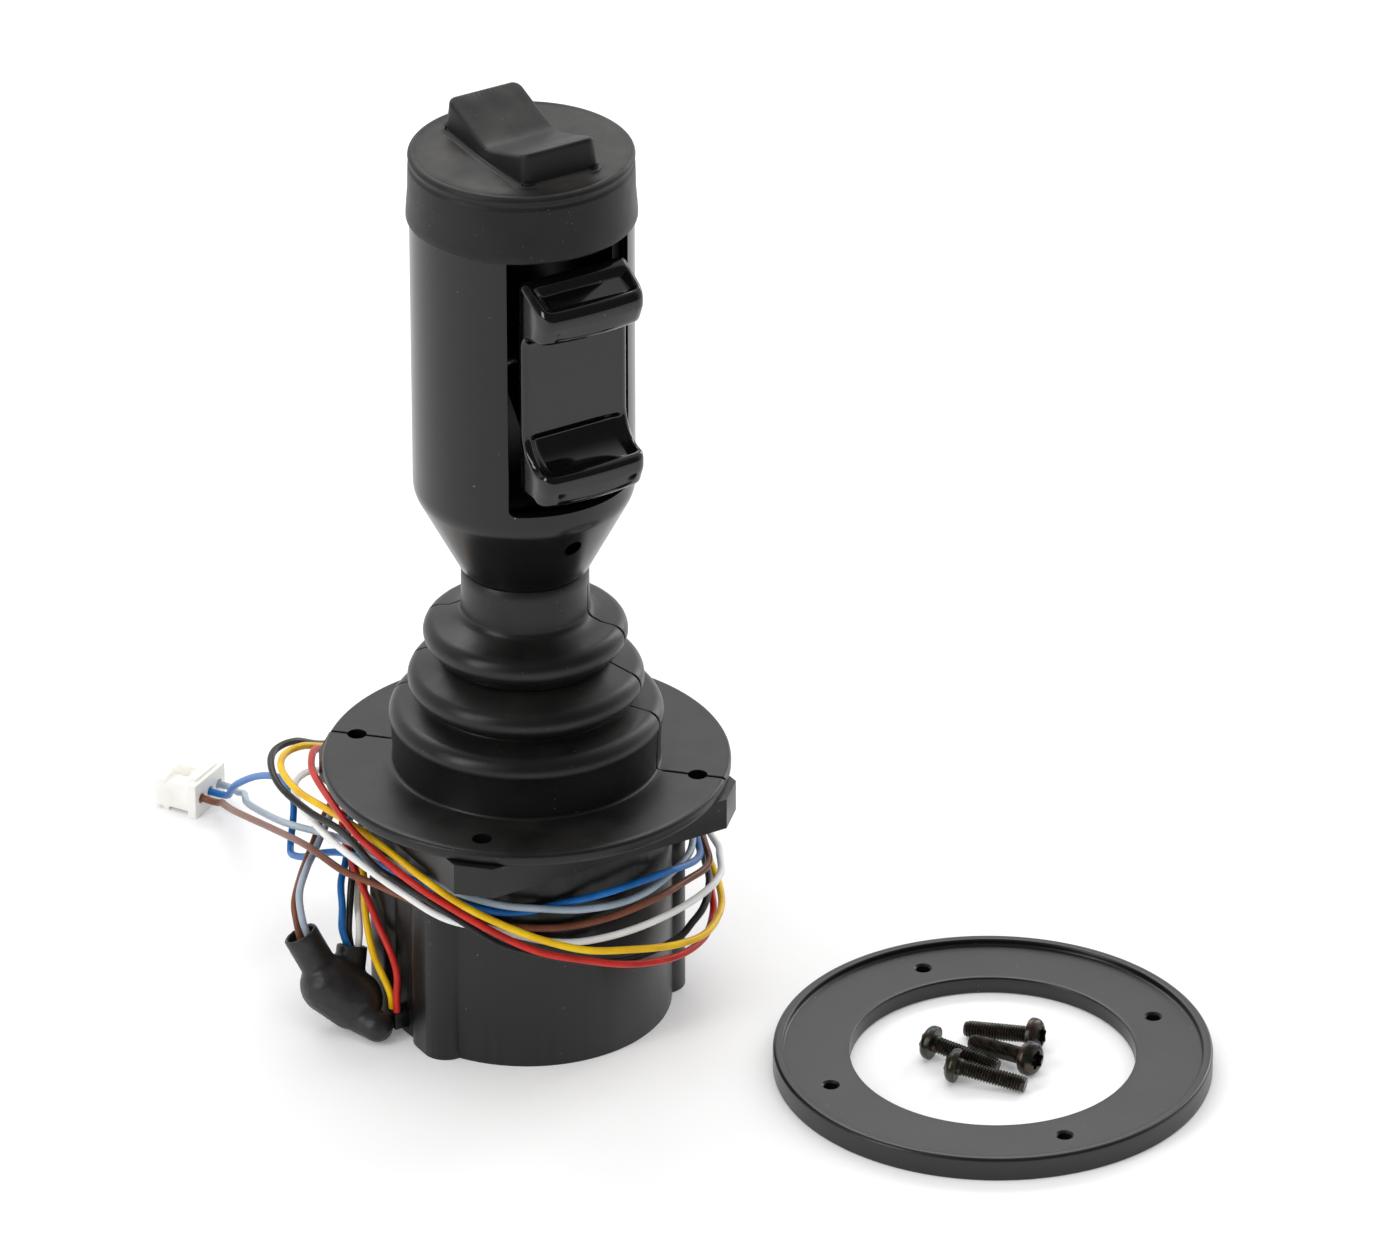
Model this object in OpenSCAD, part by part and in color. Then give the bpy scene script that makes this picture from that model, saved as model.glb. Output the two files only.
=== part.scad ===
// Two-axis industrial hand-grip joystick: a gimbal in a round housing, a rubber
// boot, a grip with a thumb paddle and a cap with a rocker, its wiring, and
// the loose bezel ring with its four screws lying beside it.
// Millimetres. Origin on the stick's axis at the housing's underside, +Z up, front at -Y.

/* [Housing] */
// Outside diameter of the round housing
housing_d = 66; // [64:0.5:68]
// Height of the housing
housing_h = 52.5; // [50:0.5:55]
// Thickness of the housing's wall
housing_wall = 2.5; // [2:0.1:3]
// Thickness of the housing's floor
housing_floor = 2; // [1.6:0.1:2.4]
// Radius of each screw boss
boss_r = 5.5; // [5.2:0.1:5.8]
// Distance from the housing's side to a boss centre
boss_inset = 4.3; // [4:0.1:4.6]
// Half the clear gap between a side's two bosses
boss_gap_half = 2; // [1.9:0.1:2.4]
// Length of a boss between its two round ends
boss_len = 4; // [3:0.5:5]
// Depth of the pilot hole in a boss
pilot_depth = 12; // [10:0.5:16]

/* [Mounting plate] */
// Side of the square mounting plate
plate_w = 74; // [73:0.5:77]
// Thickness of the mounting plate
plate_t = 7.5; // [7:0.5:9]
// Leg of the plate's corner chamfer
plate_chamfer = 6.3; // [5.5:0.1:6.8]
// Diameter of the clearance hole for the shaft and gimbal
plate_bore_d = 36; // [34:0.5:37]
// Distance of the four panel screws inside the boot flange's edge
panel_inset = 6.5; // [6:0.1:7]
// Diameter of the four panel screw holes
panel_hole_d = 4.5; // [4.2:0.1:4.8]
// Shaft diameter of the four housing screws
case_screw_d = 2.9; // [2.6:0.1:3.1]
// Head diameter of the four housing screws
case_screw_head_d = 5.4; // [5:0.1:5.6]
// Head height of the four housing screws
case_screw_head_h = 1.9; // [1.6:0.1:2.2]
// Length of the four housing screws under the head
case_screw_len = 15; // [13:0.5:17]

/* [Gimbal] */
// Height of the tilt axes over the plate
pivot_rise = 7.5; // [7:0.25:8.5]
// Outside diameter of the gimbal ring
gimbal_od = 29; // [28:0.5:30]
// Inside diameter of the gimbal ring
gimbal_id = 21; // [20.5:0.25:21.5]
// Height of the gimbal ring
gimbal_h = 9; // [8.5:0.25:9.5]
// Diameter of the two trunnion pins
trunnion_d = 5; // [4.6:0.1:5.2]
// Diameter of the two cross pins
cross_pin_d = 4.5; // [4:0.1:4.8]
// Wall of the bearing bushes
bush_wall = 1; // [0.9:0.05:1.1]
// Distance from the axis to a bearing bracket's inner face
bracket_x = 18.2; // [18:0.1:18.6]
// Thickness of a bearing bracket
bracket_t = 5.5; // [5:0.25:6]
// Half width of a bracket's foot
bracket_foot = 12; // [11.5:0.25:12.5]
// Thickness of a bracket's foot
bracket_foot_t = 3; // [2.6:0.2:3.4]
// Half width of a bracket's post
bracket_post = 6; // [5.6:0.1:6.2]
// Radial clearance of each pin that turns in a bush
run_gap = 0.05; // [0.03:0.01:0.08]
// Radial clearance of each fixed fit
seat_gap = 0.05; // [0.03:0.01:0.08]
// Wire diameter of the two return springs
spring_wire = 0.8; // [0.7:0.05:0.85]

/* [Shaft] */
// Outside diameter of the hollow shaft
shaft_d = 9; // [8.6:0.1:9.2]
// Bore of the hollow shaft
shaft_bore = 5.2; // [4.6:0.1:5.6]
// Length of shaft under the tilt axes
shaft_down = 28; // [26:0.5:30]
// Length of shaft over the tilt axes
shaft_up = 62; // [60:0.5:64]
// Width of the hub across the tilt axes
hub_w = 12; // [11.6:0.1:12.4]
// Diameter of the magnet holder
holder_d = 12; // [11.5:0.25:13]
// Diameter of the sensing magnet
magnet_d = 8; // [7:0.25:8.5]
// Thickness of the sensing magnet
magnet_t = 3; // [2.5:0.1:3.5]

/* [Circuit board] */
// Diameter of the circuit board
board_d = 44; // [42:0.5:45]
// Thickness of the circuit board
board_t = 1.6; // [1.2:0.1:2]
// Height of the board's underside over the housing's floor
board_up = 26; // [24:0.5:27]
// Distance of each board pillar from the axis, along X and Y
pillar_xy = 12.5; // [12:0.25:13]
// Diameter of each board pillar
pillar_d = 6; // [5.5:0.25:6.5]

/* [Boot] */
// Diameter of the boot's flange
flange_d = 93; // [92:0.5:94.5]
// Thickness of the boot's flange
flange_t = 3; // [2.6:0.1:3.2]
// Diameter of the boot's wall
wall_d = 61; // [60:0.5:62]
// Outside diameter of the lowest fold
low_fold_d = 62.5; // [61.5:0.5:63.5]
// Height of the lowest fold's middle over the flange's underside
low_fold_up = 14.5; // [14.2:0.1:14.8]
// Outside diameter of the middle fold
mid_fold_d = 53.7; // [53:0.1:54.5]
// Height of the middle fold's middle over the flange's underside
mid_fold_up = 23.9; // [23.6:0.1:24.2]
// Outside diameter of the upper fold
high_fold_d = 46.4; // [45.5:0.1:47]
// Height of the upper fold's middle over the flange's underside
high_fold_up = 35.6; // [35.2:0.1:36]
// Radius of each fold's rounded edge
fold_edge = 3.5; // [3.2:0.1:3.8]
// Diameter of the valley over the lowest fold
low_valley_d = 45.5; // [45:0.1:46]
// Diameter of the valley over the middle fold
high_valley_d = 37.5; // [37:0.1:38]
// Diameter of the boot's neck
neck_d = 29; // [28.5:0.1:29.5]
// Height of the neck's top over the flange's underside
boot_h = 52.3; // [52:0.1:53]
// Thickness of the boot's rubber
boot_skin = 1.6; // [1.4:0.1:1.8]

/* [Grip] */
// Diameter of the grip
grip_d = 50; // [49.5:0.1:50.5]
// Diameter of the grip's foot
foot_d = 29.1; // [28.5:0.1:29.5]
// Height of the cone between foot and grip
cone_h = 20; // [19:0.5:21]
// Height from the foot to the cap's lower edge
grip_h = 87.3; // [87:0.1:88.5]
// Thickness of the grip's wall
grip_wall = 2.5; // [2.2:0.1:2.8]
// Length of the spigot inside the boot's neck
spigot_h = 7; // [6:0.25:8]
// Height of the clamp screw over the grip's foot
clamp_up = 13.2; // [12.5:0.1:14]
// Diameter of the clamp screw's hole
clamp_hole_d = 4.2; // [4.1:0.05:4.6]
// Width of the front pocket
pocket_w = 31; // [30.8:0.1:31.4]
// Height of the pocket's lower edge over the grip's foot
pocket_up = 24.4; // [24:0.1:25]

/* [Cap] */
// Diameter of the cap's lower edge
skirt_d = 51.5; // [51.2:0.1:52]
// Diameter of the cap's top
cap_d = 50.4; // [50:0.1:50.8]
// Height of the cap
cap_h = 16; // [15.6:0.1:16.4]
// Thickness of the cap's rubber
cap_skin = 2; // [1.9:0.05:2.1]
// Length of the rocker along Y
rocker_l = 35; // [34.5:0.1:35.5]
// Width of the rocker along X
rocker_w = 19; // [18.6:0.1:19.4]
// Height of the rocker's ends over the cap
rocker_rise = 6.8; // [6.4:0.1:7.2]
// Height of the rocker's valley over the cap
rocker_dip = 2.5; // [2.3:0.1:2.9]
// Gap round the rocker in the cap
rocker_gap = 0.6; // [0.55:0.05:0.8]
// Thickness of the rocker's wall
rocker_wall = 1.5; // [1.4:0.05:1.6]
// Diameter of the rocker's pivot pin
rocker_pin_d = 2; // [1.8:0.1:2.2]

/* [Thumb paddle] */
// Distance of the paddle's pivot in front of the axis
paddle_pivot = 8; // [7.8:0.1:8.4]
// Width of the paddle
paddle_w = 25.8; // [25.4:0.1:26]
// Distance of the paddle's middle face in front of the axis
paddle_face = 23; // [22.6:0.1:23.4]
// Distance of the wing tips in front of the axis
paddle_reach = 33; // [32.5:0.1:33.5]
// Radius of the hollow between middle face and wing
paddle_curve = 8.7; // [8.4:0.1:9]
// Height of each wing, from the flat middle face to the paddle's end
paddle_wing = 15.5; // [15.2:0.1:15.8]
// Clear height over the paddle, under the cap
paddle_over = 4.3; // [4.1:0.1:4.5]
// Clear height under the paddle in the pocket
paddle_under = 6.2; // [6:0.1:6.4]
// Width of the rolled rim round each wing's hollow
paddle_rim = 2.6; // [2.4:0.1:2.8]
// Depth of each wing's hollow under its rim
paddle_dish = 1; // [0.8:0.1:1.1]
// Thickness of the paddle's shell
paddle_shell = 2.4; // [2.2:0.1:2.6]
// Diameter of the paddle's pivot pin
paddle_pin_d = 3; // [2.8:0.1:3.2]

/* [Bezel ring] */
// Outside diameter of the bezel ring
bezel_d = 100; // [99:0.5:101]
// Bore of the bezel ring
bezel_bore = 65; // [64.5:0.5:66]
// Thickness of the bezel ring
bezel_t = 5.6; // [5.2:0.1:6]
// Diameter of the ring's recess
recess_d = 95.4; // [95:0.1:96]
// Depth of the ring's recess
recess_t = 1.4; // [1.2:0.1:1.6]
// Core diameter of the ring's four tapped holes
tap_d = 3.3; // [3.2:0.05:3.4]
// Depth of the tapped holes under the recess
tap_depth = 3; // [2.6:0.1:3.2]
// Thread diameter of the four loose screws
bolt_d = 4; // [3.8:0.05:4]
// Length of the loose screws under the head
bolt_len = 16; // [15:0.5:16]
// Head diameter of the loose screws
bolt_head_d = 8; // [7.6:0.1:8]
// Head height of the loose screws
bolt_head_h = 2.9; // [2.6:0.1:3]

/* [Wiring] */
// Diameter of each wire
wire_d = 1.7; // [1.4:0.1:1.8]
// Pitch of the connectors' contacts
contact_pitch = 3.96; // [3.9:0.02:4]
// Height of the contacts over the connectors' underside
contact_up = 4.5; // [4.3:0.1:4.7]

/* [Hidden] */
$fn = 48;

// Heights, from the floor up
plate_z = housing_h;
plate_top = plate_z + plate_t;
pivot_z = plate_top + pivot_rise;
neck_top = plate_top + boot_h;
part_gap = 0.2;
foot_z = neck_top + part_gap;
grip_z = foot_z + cone_h;
skirt_z = foot_z + grip_h;
cap_top = skirt_z + cap_h;
paddle_half = (skirt_z - foot_z - pocket_up - paddle_over - paddle_under) / 2;
paddle_mid = paddle_half - paddle_wing;
paddle_z = skirt_z - paddle_over - paddle_half;
clamp_z = foot_z + clamp_up;

// Radii
housing_r = housing_d / 2;
grip_r = grip_d / 2;
cavity_r = grip_r - grip_wall;
shaft_r = shaft_d / 2;
boss_x = housing_r - boss_inset;
boss_y = boss_gap_half + boss_r;
case_screw_y = boss_y + boss_len / 2;
panel_r = flange_d / 2 - panel_inset;
panel_xy = panel_r * sin(45);
spigot_r = neck_d / 2 - boot_skin - part_gap;
ring_or = gimbal_od / 2;
ring_ir = gimbal_id / 2;

// Smooth curve through hand-picked points, two pieces between each pair
function between(a, b, c, d, t) = 0.5 * (2 * b + (c - a) * t
    + (2 * a - 5 * b + 4 * c - d) * t * t + (3 * b - a - 3 * c + d) * t * t * t);
function smooth(p) = let(n = len(p)) concat(
    [for (i = [0:n - 2], t = [0, 0.5])
        between(i == 0 ? 2 * p[0] - p[1] : p[i - 1], p[i], p[i + 1],
                i == n - 2 ? 2 * p[n - 1] - p[n - 2] : p[i + 2], t)],
    [p[n - 1]]);
function unit(v) = v / norm(v);
function square_to(v, t) = unit(v - (v * t) * t);
function tangents(p) = [for (i = [0:len(p) - 1])
    unit(p[min(i + 1, len(p) - 1)] - p[max(i - 1, 0)])];
// A normal carried along the curve without twist
function normals(t) = [for (i = 0, v = square_to(abs(t[0][2]) < 0.8 ? [0, 0, 1] : [1, 0, 0], t[0]);
    i < len(t); i = i + 1, v = square_to(v, i < len(t) ? t[i] : t[len(t) - 1])) v];

// Round tube swept along points p
module sweep(p, r, sides) {
    t = tangents(p);
    u = normals(t);
    n = len(p);
    pts = [for (i = [0:n - 1], k = [0:sides - 1])
        let(a = 360 * k / sides) p[i] + r * (cos(a) * u[i] + sin(a) * cross(t[i], u[i]))];
    walls = [for (i = [0:n - 2], k = [0:sides - 1], h = [0, 1])
        let(a = i * sides + k, b = i * sides + (k + 1) % sides)
        h == 0 ? [a, b, a + sides] : [b, b + sides, a + sides]];
    ends = [[for (k = [sides - 1:-1:0]) k], [for (k = [0:sides - 1]) (n - 1) * sides + k]];
    polyhedron([for (q = pts) q], concat([for (f = walls) [f[2], f[1], f[0]]],
        [for (f = ends) [for (k = [len(f) - 1:-1:0]) f[k]]]), convexity = 10);
}

module tube(od, id, h) {
    difference() {
        cylinder(d = od, h = h);
        translate([0, 0, -1]) cylinder(d = id, h = h + 2);
    }
}

// Cylinder along +X or +Y from its start
module along_x(d, l) rotate([0, 90, 0]) cylinder(d = d, h = l);
module along_y(d, l) rotate([-90, 0, 0]) cylinder(d = d, h = l);

// Outline drawn in Y and Z, centred across X
module across_x(w) rotate([90, 0, 90]) linear_extrude(w, center = true) children();

module both_x() for (s = [0, 180]) rotate([0, 0, s]) children();
module four_corners(x, y) for (i = [-1, 1], j = [-1, 1]) translate([i * x, j * y, 0]) children();

function arc(c, r, a, b, n) = [for (i = [0:n]) let(t = a + (b - a) * i / n) c + r * [cos(t), sin(t)]];

// ---- Housing and plate ----
module boss_outline() for (j = [0, 1]) {
    translate([boss_x, boss_y + j * boss_len]) circle(boss_r);
    if (j == 0) translate([boss_x - boss_r, boss_y]) square([2 * boss_r, boss_len]);
}

// Cable slot between the two bosses on the -X side
slot_w = 2 * boss_gap_half - 0.2;
slot_top = 6.5;

module housing() color([0.12, 0.12, 0.12]) difference() {
    union() {
        difference() {
            cylinder(r = housing_r, h = housing_h, $fn = 96);
            translate([0, 0, housing_floor])
                cylinder(r = housing_r - housing_wall, h = housing_h, $fn = 96);
        }
        for (i = [0, 1], j = [0, 1]) mirror([i, 0, 0]) mirror([0, j, 0])
            linear_extrude(housing_h) boss_outline();
        four_corners(pillar_xy, pillar_xy)
            translate([0, 0, housing_floor / 2]) cylinder(d = pillar_d, h = housing_floor / 2 + board_up);
    }
    four_corners(boss_x, case_screw_y)
        translate([0, 0, housing_h - pilot_depth])
            cylinder(d = case_screw_d + 2 * seat_gap, h = pilot_depth + 1);
    four_corners(pillar_xy, pillar_xy) translate([0, 0, board_z - board_screw_len])
        cylinder(d = board_screw_d + 2 * seat_gap, h = board_screw_len + 1);
    translate([-housing_r - 1, -slot_w / 2, housing_floor])
        cube([housing_wall + 2, slot_w, slot_top - housing_floor]);
}

// The square outline with its corners cut off
module plate_outline() {
    h = plate_w / 2;
    c = h - plate_chamfer;
    polygon([[h, c], [c, h], [-c, h], [-h, c], [-h, -c], [-c, -h], [c, -h], [h, -c]]);
}

head_seat = case_screw_head_h + 0.3;

module mounting_plate() color([0.13, 0.13, 0.13]) translate([0, 0, plate_z]) difference() {
    linear_extrude(plate_t) plate_outline();
    translate([0, 0, -1]) cylinder(d = plate_bore_d, h = plate_t + 2, $fn = 96);
    four_corners(panel_xy, panel_xy) translate([0, 0, -1]) cylinder(d = panel_hole_d, h = plate_t + 2);
    four_corners(boss_x, case_screw_y) {
        translate([0, 0, -1]) cylinder(d = case_screw_d + 0.3, h = plate_t + 2);
        translate([0, 0, plate_t - head_seat]) cylinder(d = case_screw_head_d + 0.4, h = head_seat + 1);
    }
    four_corners(bracket_mid, bracket_screw_y) translate([0, 0, plate_t - foot_screw_len])
        cylinder(d = foot_screw_d + 2 * seat_gap, h = foot_screw_len + 1);
}

module pan_screw(d, l, head_d, head_h) {
    translate([0, 0, -l]) cylinder(d = d, h = l + head_h / 2);
    difference() {
        cylinder(d = head_d, h = head_h);
        translate([0, 0, head_h / 2]) cylinder(d = d * 0.6, h = head_h, $fn = 6);
    }
}

module housing_screws() color([0.25, 0.25, 0.26]) four_corners(boss_x, case_screw_y)
    translate([0, 0, plate_top - head_seat])
        pan_screw(case_screw_d, case_screw_len, case_screw_head_d, case_screw_head_h);

// ---- Bearings ----
bracket_mid = bracket_x + bracket_t / 2;
bracket_screw_y = (bracket_post + bracket_foot) / 2;
foot_screw_d = 2.4;
foot_screw_len = 5;
foot_screw_grip = bracket_foot_t - 0.3;
foot_screw_head_d = 4.4;
foot_screw_head_h = 1.6;
bush_od = trunnion_d + 2 * run_gap + 2 * bush_wall;
bush_lip = 0.6;

module bearing_brackets() color([0.2, 0.2, 0.2]) both_x() difference() {
    union() {
        translate([bracket_x, -bracket_foot, plate_top])
            cube([bracket_t, 2 * bracket_foot, bracket_foot_t]);
        translate([bracket_x, -bracket_post, plate_top]) cube([bracket_t, 2 * bracket_post, pivot_rise]);
        translate([bracket_x, 0, pivot_z]) along_x(2 * bracket_post, bracket_t);
    }
    translate([bracket_x - 1, 0, pivot_z]) along_x(bush_od + 2 * seat_gap, bracket_t + 2);
    for (j = [-1, 1]) translate([bracket_mid, j * bracket_screw_y, plate_top - 1])
        cylinder(d = foot_screw_d + 2 * seat_gap, h = bracket_foot_t + 2);
}

module bracket_screws() color([0.5, 0.5, 0.52]) four_corners(bracket_mid, bracket_screw_y)
    translate([0, 0, plate_top + bracket_foot_t])
        pan_screw(foot_screw_d, foot_screw_len + foot_screw_grip, foot_screw_head_d, foot_screw_head_h);

module trunnion_bushes() color([0.75, 0.6, 0.3]) both_x() translate([bracket_x, 0, pivot_z]) difference() {
    union() {
        along_x(bush_od, bracket_t);
        translate([-bush_lip, 0, 0]) along_x(bush_od + 2, bush_lip);
    }
    translate([-bush_lip - 1, 0, 0]) along_x(trunnion_d + 2 * run_gap, bracket_t + 3);
}

module gimbal_ring() color([0.62, 0.63, 0.65]) translate([0, 0, pivot_z]) difference() {
    translate([0, 0, -gimbal_h / 2]) tube(gimbal_od, gimbal_id, gimbal_h, $fn = 96);
    both_x() along_x(trunnion_d + 2 * seat_gap, ring_or + 1);
    translate([0, -ring_or - 1, 0]) along_y(cross_bush_od + 2 * seat_gap, gimbal_od + 2);
}

module trunnion_pins() color([0.7, 0.7, 0.72]) both_x() translate([ring_ir + 0.1, 0, pivot_z])
    along_x(trunnion_d, bracket_x + bracket_t - ring_ir + 0.4);

cross_bush_od = cross_pin_d + 2 * run_gap + 2 * bush_wall;

module cross_bushes() color([0.75, 0.6, 0.3]) for (j = [0, 180]) rotate([0, 0, j])
    translate([0, ring_ir - 0.1, pivot_z]) difference() {
        along_y(cross_bush_od, ring_or - ring_ir - 0.2);
        translate([0, -1, 0]) along_y(cross_pin_d + 2 * run_gap, ring_or);
    }

// Coil of turns t and mean radius r along Z, its wire's middle from z = 0 to length l
coil_steps = 16;
module coil(r, t, l) sweep([for (i = [0:t * coil_steps]) let(a = 360 * i / coil_steps)
    [r * cos(a), r * sin(a), l * i / (t * coil_steps)]], spring_wire / 2, 6);

x_spring_room = bracket_x - bush_lip - ring_or;
module x_return_spring() color([0.6, 0.6, 0.62])
    translate([ring_or + x_spring_room / 2, 0, pivot_z]) rotate([0, 90, 0])
        translate([0, 0, -spring_wire]) coil(trunnion_d / 2 + 1.2, 2, 2 * spring_wire);

module y_return_spring() color([0.6, 0.6, 0.62])
    translate([0, hub_w / 2 + spring_wire / 2 + 0.2, pivot_z]) rotate([-90, 0, 0])
        coil(cross_pin_d / 2 + 1, 3, 3 * spring_wire);

// ---- Shaft ----
module shaft() color([0.72, 0.72, 0.74]) translate([0, 0, pivot_z - shaft_down])
    tube(shaft_d, shaft_bore, shaft_down + shaft_up);

module shaft_hub() color([0.55, 0.56, 0.58]) translate([0, 0, pivot_z]) difference() {
    cube(hub_w, center = true);
    translate([0, 0, -hub_w]) cylinder(d = shaft_d + 2 * seat_gap, h = 2 * hub_w);
    translate([0, -hub_w, 0]) along_y(cross_pin_d + 2 * seat_gap, 2 * hub_w);
}

module cross_pins() color([0.7, 0.7, 0.72]) for (j = [0, 180]) rotate([0, 0, j])
    translate([0, shaft_r + 0.1, pivot_z]) along_y(cross_pin_d, ring_or - shaft_r + 0.6);

magnet_z = pivot_z - shaft_down - magnet_t - 0.2;

module magnet_holder() color([0.9, 0.88, 0.8]) difference() {
    translate([0, 0, magnet_z]) cylinder(d = holder_d, h = magnet_t + 8);
    translate([0, 0, pivot_z - shaft_down - 0.1]) cylinder(d = shaft_d + 2 * seat_gap, h = 20);
    translate([0, 0, magnet_z - 1]) cylinder(d = magnet_d + 2 * seat_gap, h = magnet_t + 1.1);
}

module sensing_magnet() color([0.75, 0.75, 0.78]) translate([0, 0, magnet_z])
    cylinder(d = magnet_d, h = magnet_t);

// ---- Circuit board ----
board_z = housing_floor + board_up;
board_top = board_z + board_t;
board_screw_d = 2.4;
board_screw_len = 6;

module circuit_board() color([0.1, 0.35, 0.15]) translate([0, 0, board_z]) difference() {
    cylinder(d = board_d, h = board_t, $fn = 96);
    four_corners(pillar_xy, pillar_xy) translate([0, 0, -1])
        cylinder(d = board_screw_d + 0.3, h = board_t + 2);
}

module board_screws() color([0.5, 0.5, 0.52]) four_corners(pillar_xy, pillar_xy)
    translate([0, 0, board_top]) pan_screw(board_screw_d, board_screw_len - 1, 4.4, 1.6);

module hall_sensor() color([0.1, 0.1, 0.1]) translate([-2.5, -2, board_top]) cube([5, 4, 1.2]);

module pin_header() color([0.9, 0.9, 0.86]) translate([-9, -19, board_top]) difference() {
    cube([18, 6, 5.5]);
    translate([1, 1, 1.2]) cube([16, 4, 6]);
}

// ---- Boot ----
fold_d = [low_fold_d, mid_fold_d, high_fold_d];
fold_up = [low_fold_up, mid_fold_up, high_fold_up];
valley_d = [low_valley_d, high_valley_d];
// One fold's rounded edge, from its underside to its top
function fold(i, m, a, b) = arc([fold_d[i] / 2 - fold_edge, fold_up[i]], m, a, b, 8);
// The valley over fold i, from below to above
function valley(i, s) = let(r = valley_d[i] / 2 - s, h = (fold_up[i] + fold_up[i + 1]) / 2)
    [[r + 1.5, h - 0.6], [r, h + 0.1], [r + 1.5, h + 1]];
function boot_side(s) = concat(
    [[wall_d / 2 - s, s > 0 ? 0 : flange_t], [wall_d / 2 - s, low_fold_up - fold_edge]],
    fold(0, fold_edge - s, -28, 80), valley(0, s),
    fold(1, fold_edge - s, -80, 76), valley(1, s),
    fold(2, fold_edge - s, -80, 76),
    [[neck_d / 2 + 1 - s, boot_h - 10.8], [neck_d / 2 - s, boot_h - 9.6], [neck_d / 2 - s, boot_h]]);

function backward(p) = [for (i = [len(p) - 1:-1:0]) p[i]];

module boot() color([0.09, 0.09, 0.09]) translate([0, 0, plate_top]) difference() {
    rotate_extrude($fn = 96) {
        polygon(concat(boot_side(0), backward(boot_side(boot_skin))));
        translate([wall_d / 2 - boot_skin, 0]) square([(flange_d - wall_d) / 2 + boot_skin, flange_t]);
    }
    four_corners(panel_xy, panel_xy) translate([0, 0, -1]) cylinder(d = panel_hole_d, h = flange_t + 2);
}

// ---- Grip ----
spigot_top_r = skirt_d / 2 - cap_skin - 0.25;
spigot_bore_r = spigot_top_r - 2;
deck_z = skirt_z - 0.8;
deck_t = 2;
deck_screw_x = 19.4;
deck_screw_d = 2.4;
deck_screw_len = 7;
deck_post = deck_screw_len + 3;

module handle_body() color([0.1, 0.1, 0.1]) difference() {
    union() {
        rotate_extrude($fn = 96) polygon(concat(
            [[shaft_r + seat_gap, foot_z], [spigot_r - 1.8, foot_z], [spigot_r - 1.8, foot_z - spigot_h],
             [spigot_r, foot_z - spigot_h], [spigot_r, foot_z], [foot_d / 2 - 1.2, foot_z]],
            arc([foot_d / 2 - 1.2, foot_z + 1.2], 1.2, -80, -26, 4),
            [[grip_r, grip_z], [grip_r, skirt_z - 0.1], [spigot_top_r, skirt_z - 0.1],
             [spigot_top_r, cap_top - cap_skin - 0.1], [spigot_bore_r, cap_top - cap_skin - 0.1],
             [spigot_bore_r, skirt_z], [cavity_r, skirt_z - 1], [cavity_r, grip_z],
             [shaft_r + seat_gap, grip_z - 2]]));
        both_x() intersection() {
            translate([deck_screw_x - 2.2, -3, deck_z - deck_post]) cube([grip_r, 6, deck_post]);
            cylinder(r = grip_r - 1, h = deck_z);
        }
    }
    translate([-pocket_w / 2, -grip_r - 1, foot_z + pocket_up])
        cube([pocket_w, grip_r + 1 - cavity_r * 0.5, skirt_z - foot_z - pocket_up]);
    translate([0, -grip_r, clamp_z]) along_y(clamp_hole_d, grip_r);
    both_x() translate([deck_screw_x, 0, deck_z - deck_screw_len])
        cylinder(d = deck_screw_d + 2 * seat_gap, h = deck_screw_len + 1);
}

module clamp_screw() color([0.3, 0.3, 0.31]) translate([0, -shaft_r - 0.1, clamp_z]) rotate([90, 0, 0])
    difference() {
        cylinder(d = clamp_hole_d - 0.1, h = 6);
        translate([0, 0, 3.5]) cylinder(d = 2.3, h = 4, $fn = 6);
    }

cheek_in = paddle_w / 2 + 0.6;
cheek_out = pocket_w / 2 - 0.2;
frame_back = 3;
frame_front = sqrt(pow(cavity_r, 2) - pow(cheek_out, 2)) - 0.2;
pocket_floor = foot_z + pocket_up + 1;

module switch_carrier() color([0.08, 0.08, 0.08]) difference() {
    union() {
        for (i = [0, 1]) mirror([i, 0, 0]) translate([cheek_in, -frame_front, grip_z + 0.1])
            cube([cheek_out - cheek_in, frame_front - frame_back, deck_z - grip_z - 0.1]);
        translate([-cheek_out, -frame_back - 0.01, grip_z + 0.1]) cube([2 * cheek_out, 2, deck_z - grip_z]);
        translate([-cheek_out, -frame_front, pocket_floor - 1.5])
            cube([2 * cheek_out, frame_front - frame_back, 1.5]);
        translate([0, 0, deck_z]) cylinder(r = spigot_bore_r - 0.2, h = deck_t);
    }
    translate([-grip_r, -paddle_pivot, paddle_z]) along_x(paddle_pin_d + 2 * seat_gap, grip_d);
    both_x() translate([deck_screw_x, 0, deck_z - 1]) cylinder(d = deck_screw_d + 0.3, h = deck_t + 2);
}

module carrier_screws() color([0.5, 0.5, 0.52])
    both_x() translate([deck_screw_x, 0, deck_z + deck_t])
        pan_screw(deck_screw_d, deck_screw_len, 1.6 * deck_screw_d, 0.6 * deck_screw_d);

switch_w = 14;
switch_t = 9.9;
switch_h = 2 * paddle_mid - 1.4;
plunger_d = 3;
plunger_at = 5;
plunger_gap = 1.6;
switch_front = frame_back + switch_t;
module front_switch_body() color([0.15, 0.15, 0.16]) difference() {
    union() {
        translate([-switch_w / 2, -switch_front - 0.1, paddle_z - switch_h / 2])
            cube([switch_w, switch_t, switch_h]);
        for (k = [-1, 1]) translate([0, -switch_front, paddle_z + k * plunger_at]) rotate([90, 0, 0])
            cylinder(d = plunger_d, h = paddle_face - paddle_shell - switch_front - plunger_gap);
    }
    translate([-switch_w, -paddle_pivot, paddle_z]) along_x(paddle_pin_d + 2 * seat_gap, 2 * switch_w);
}

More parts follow.
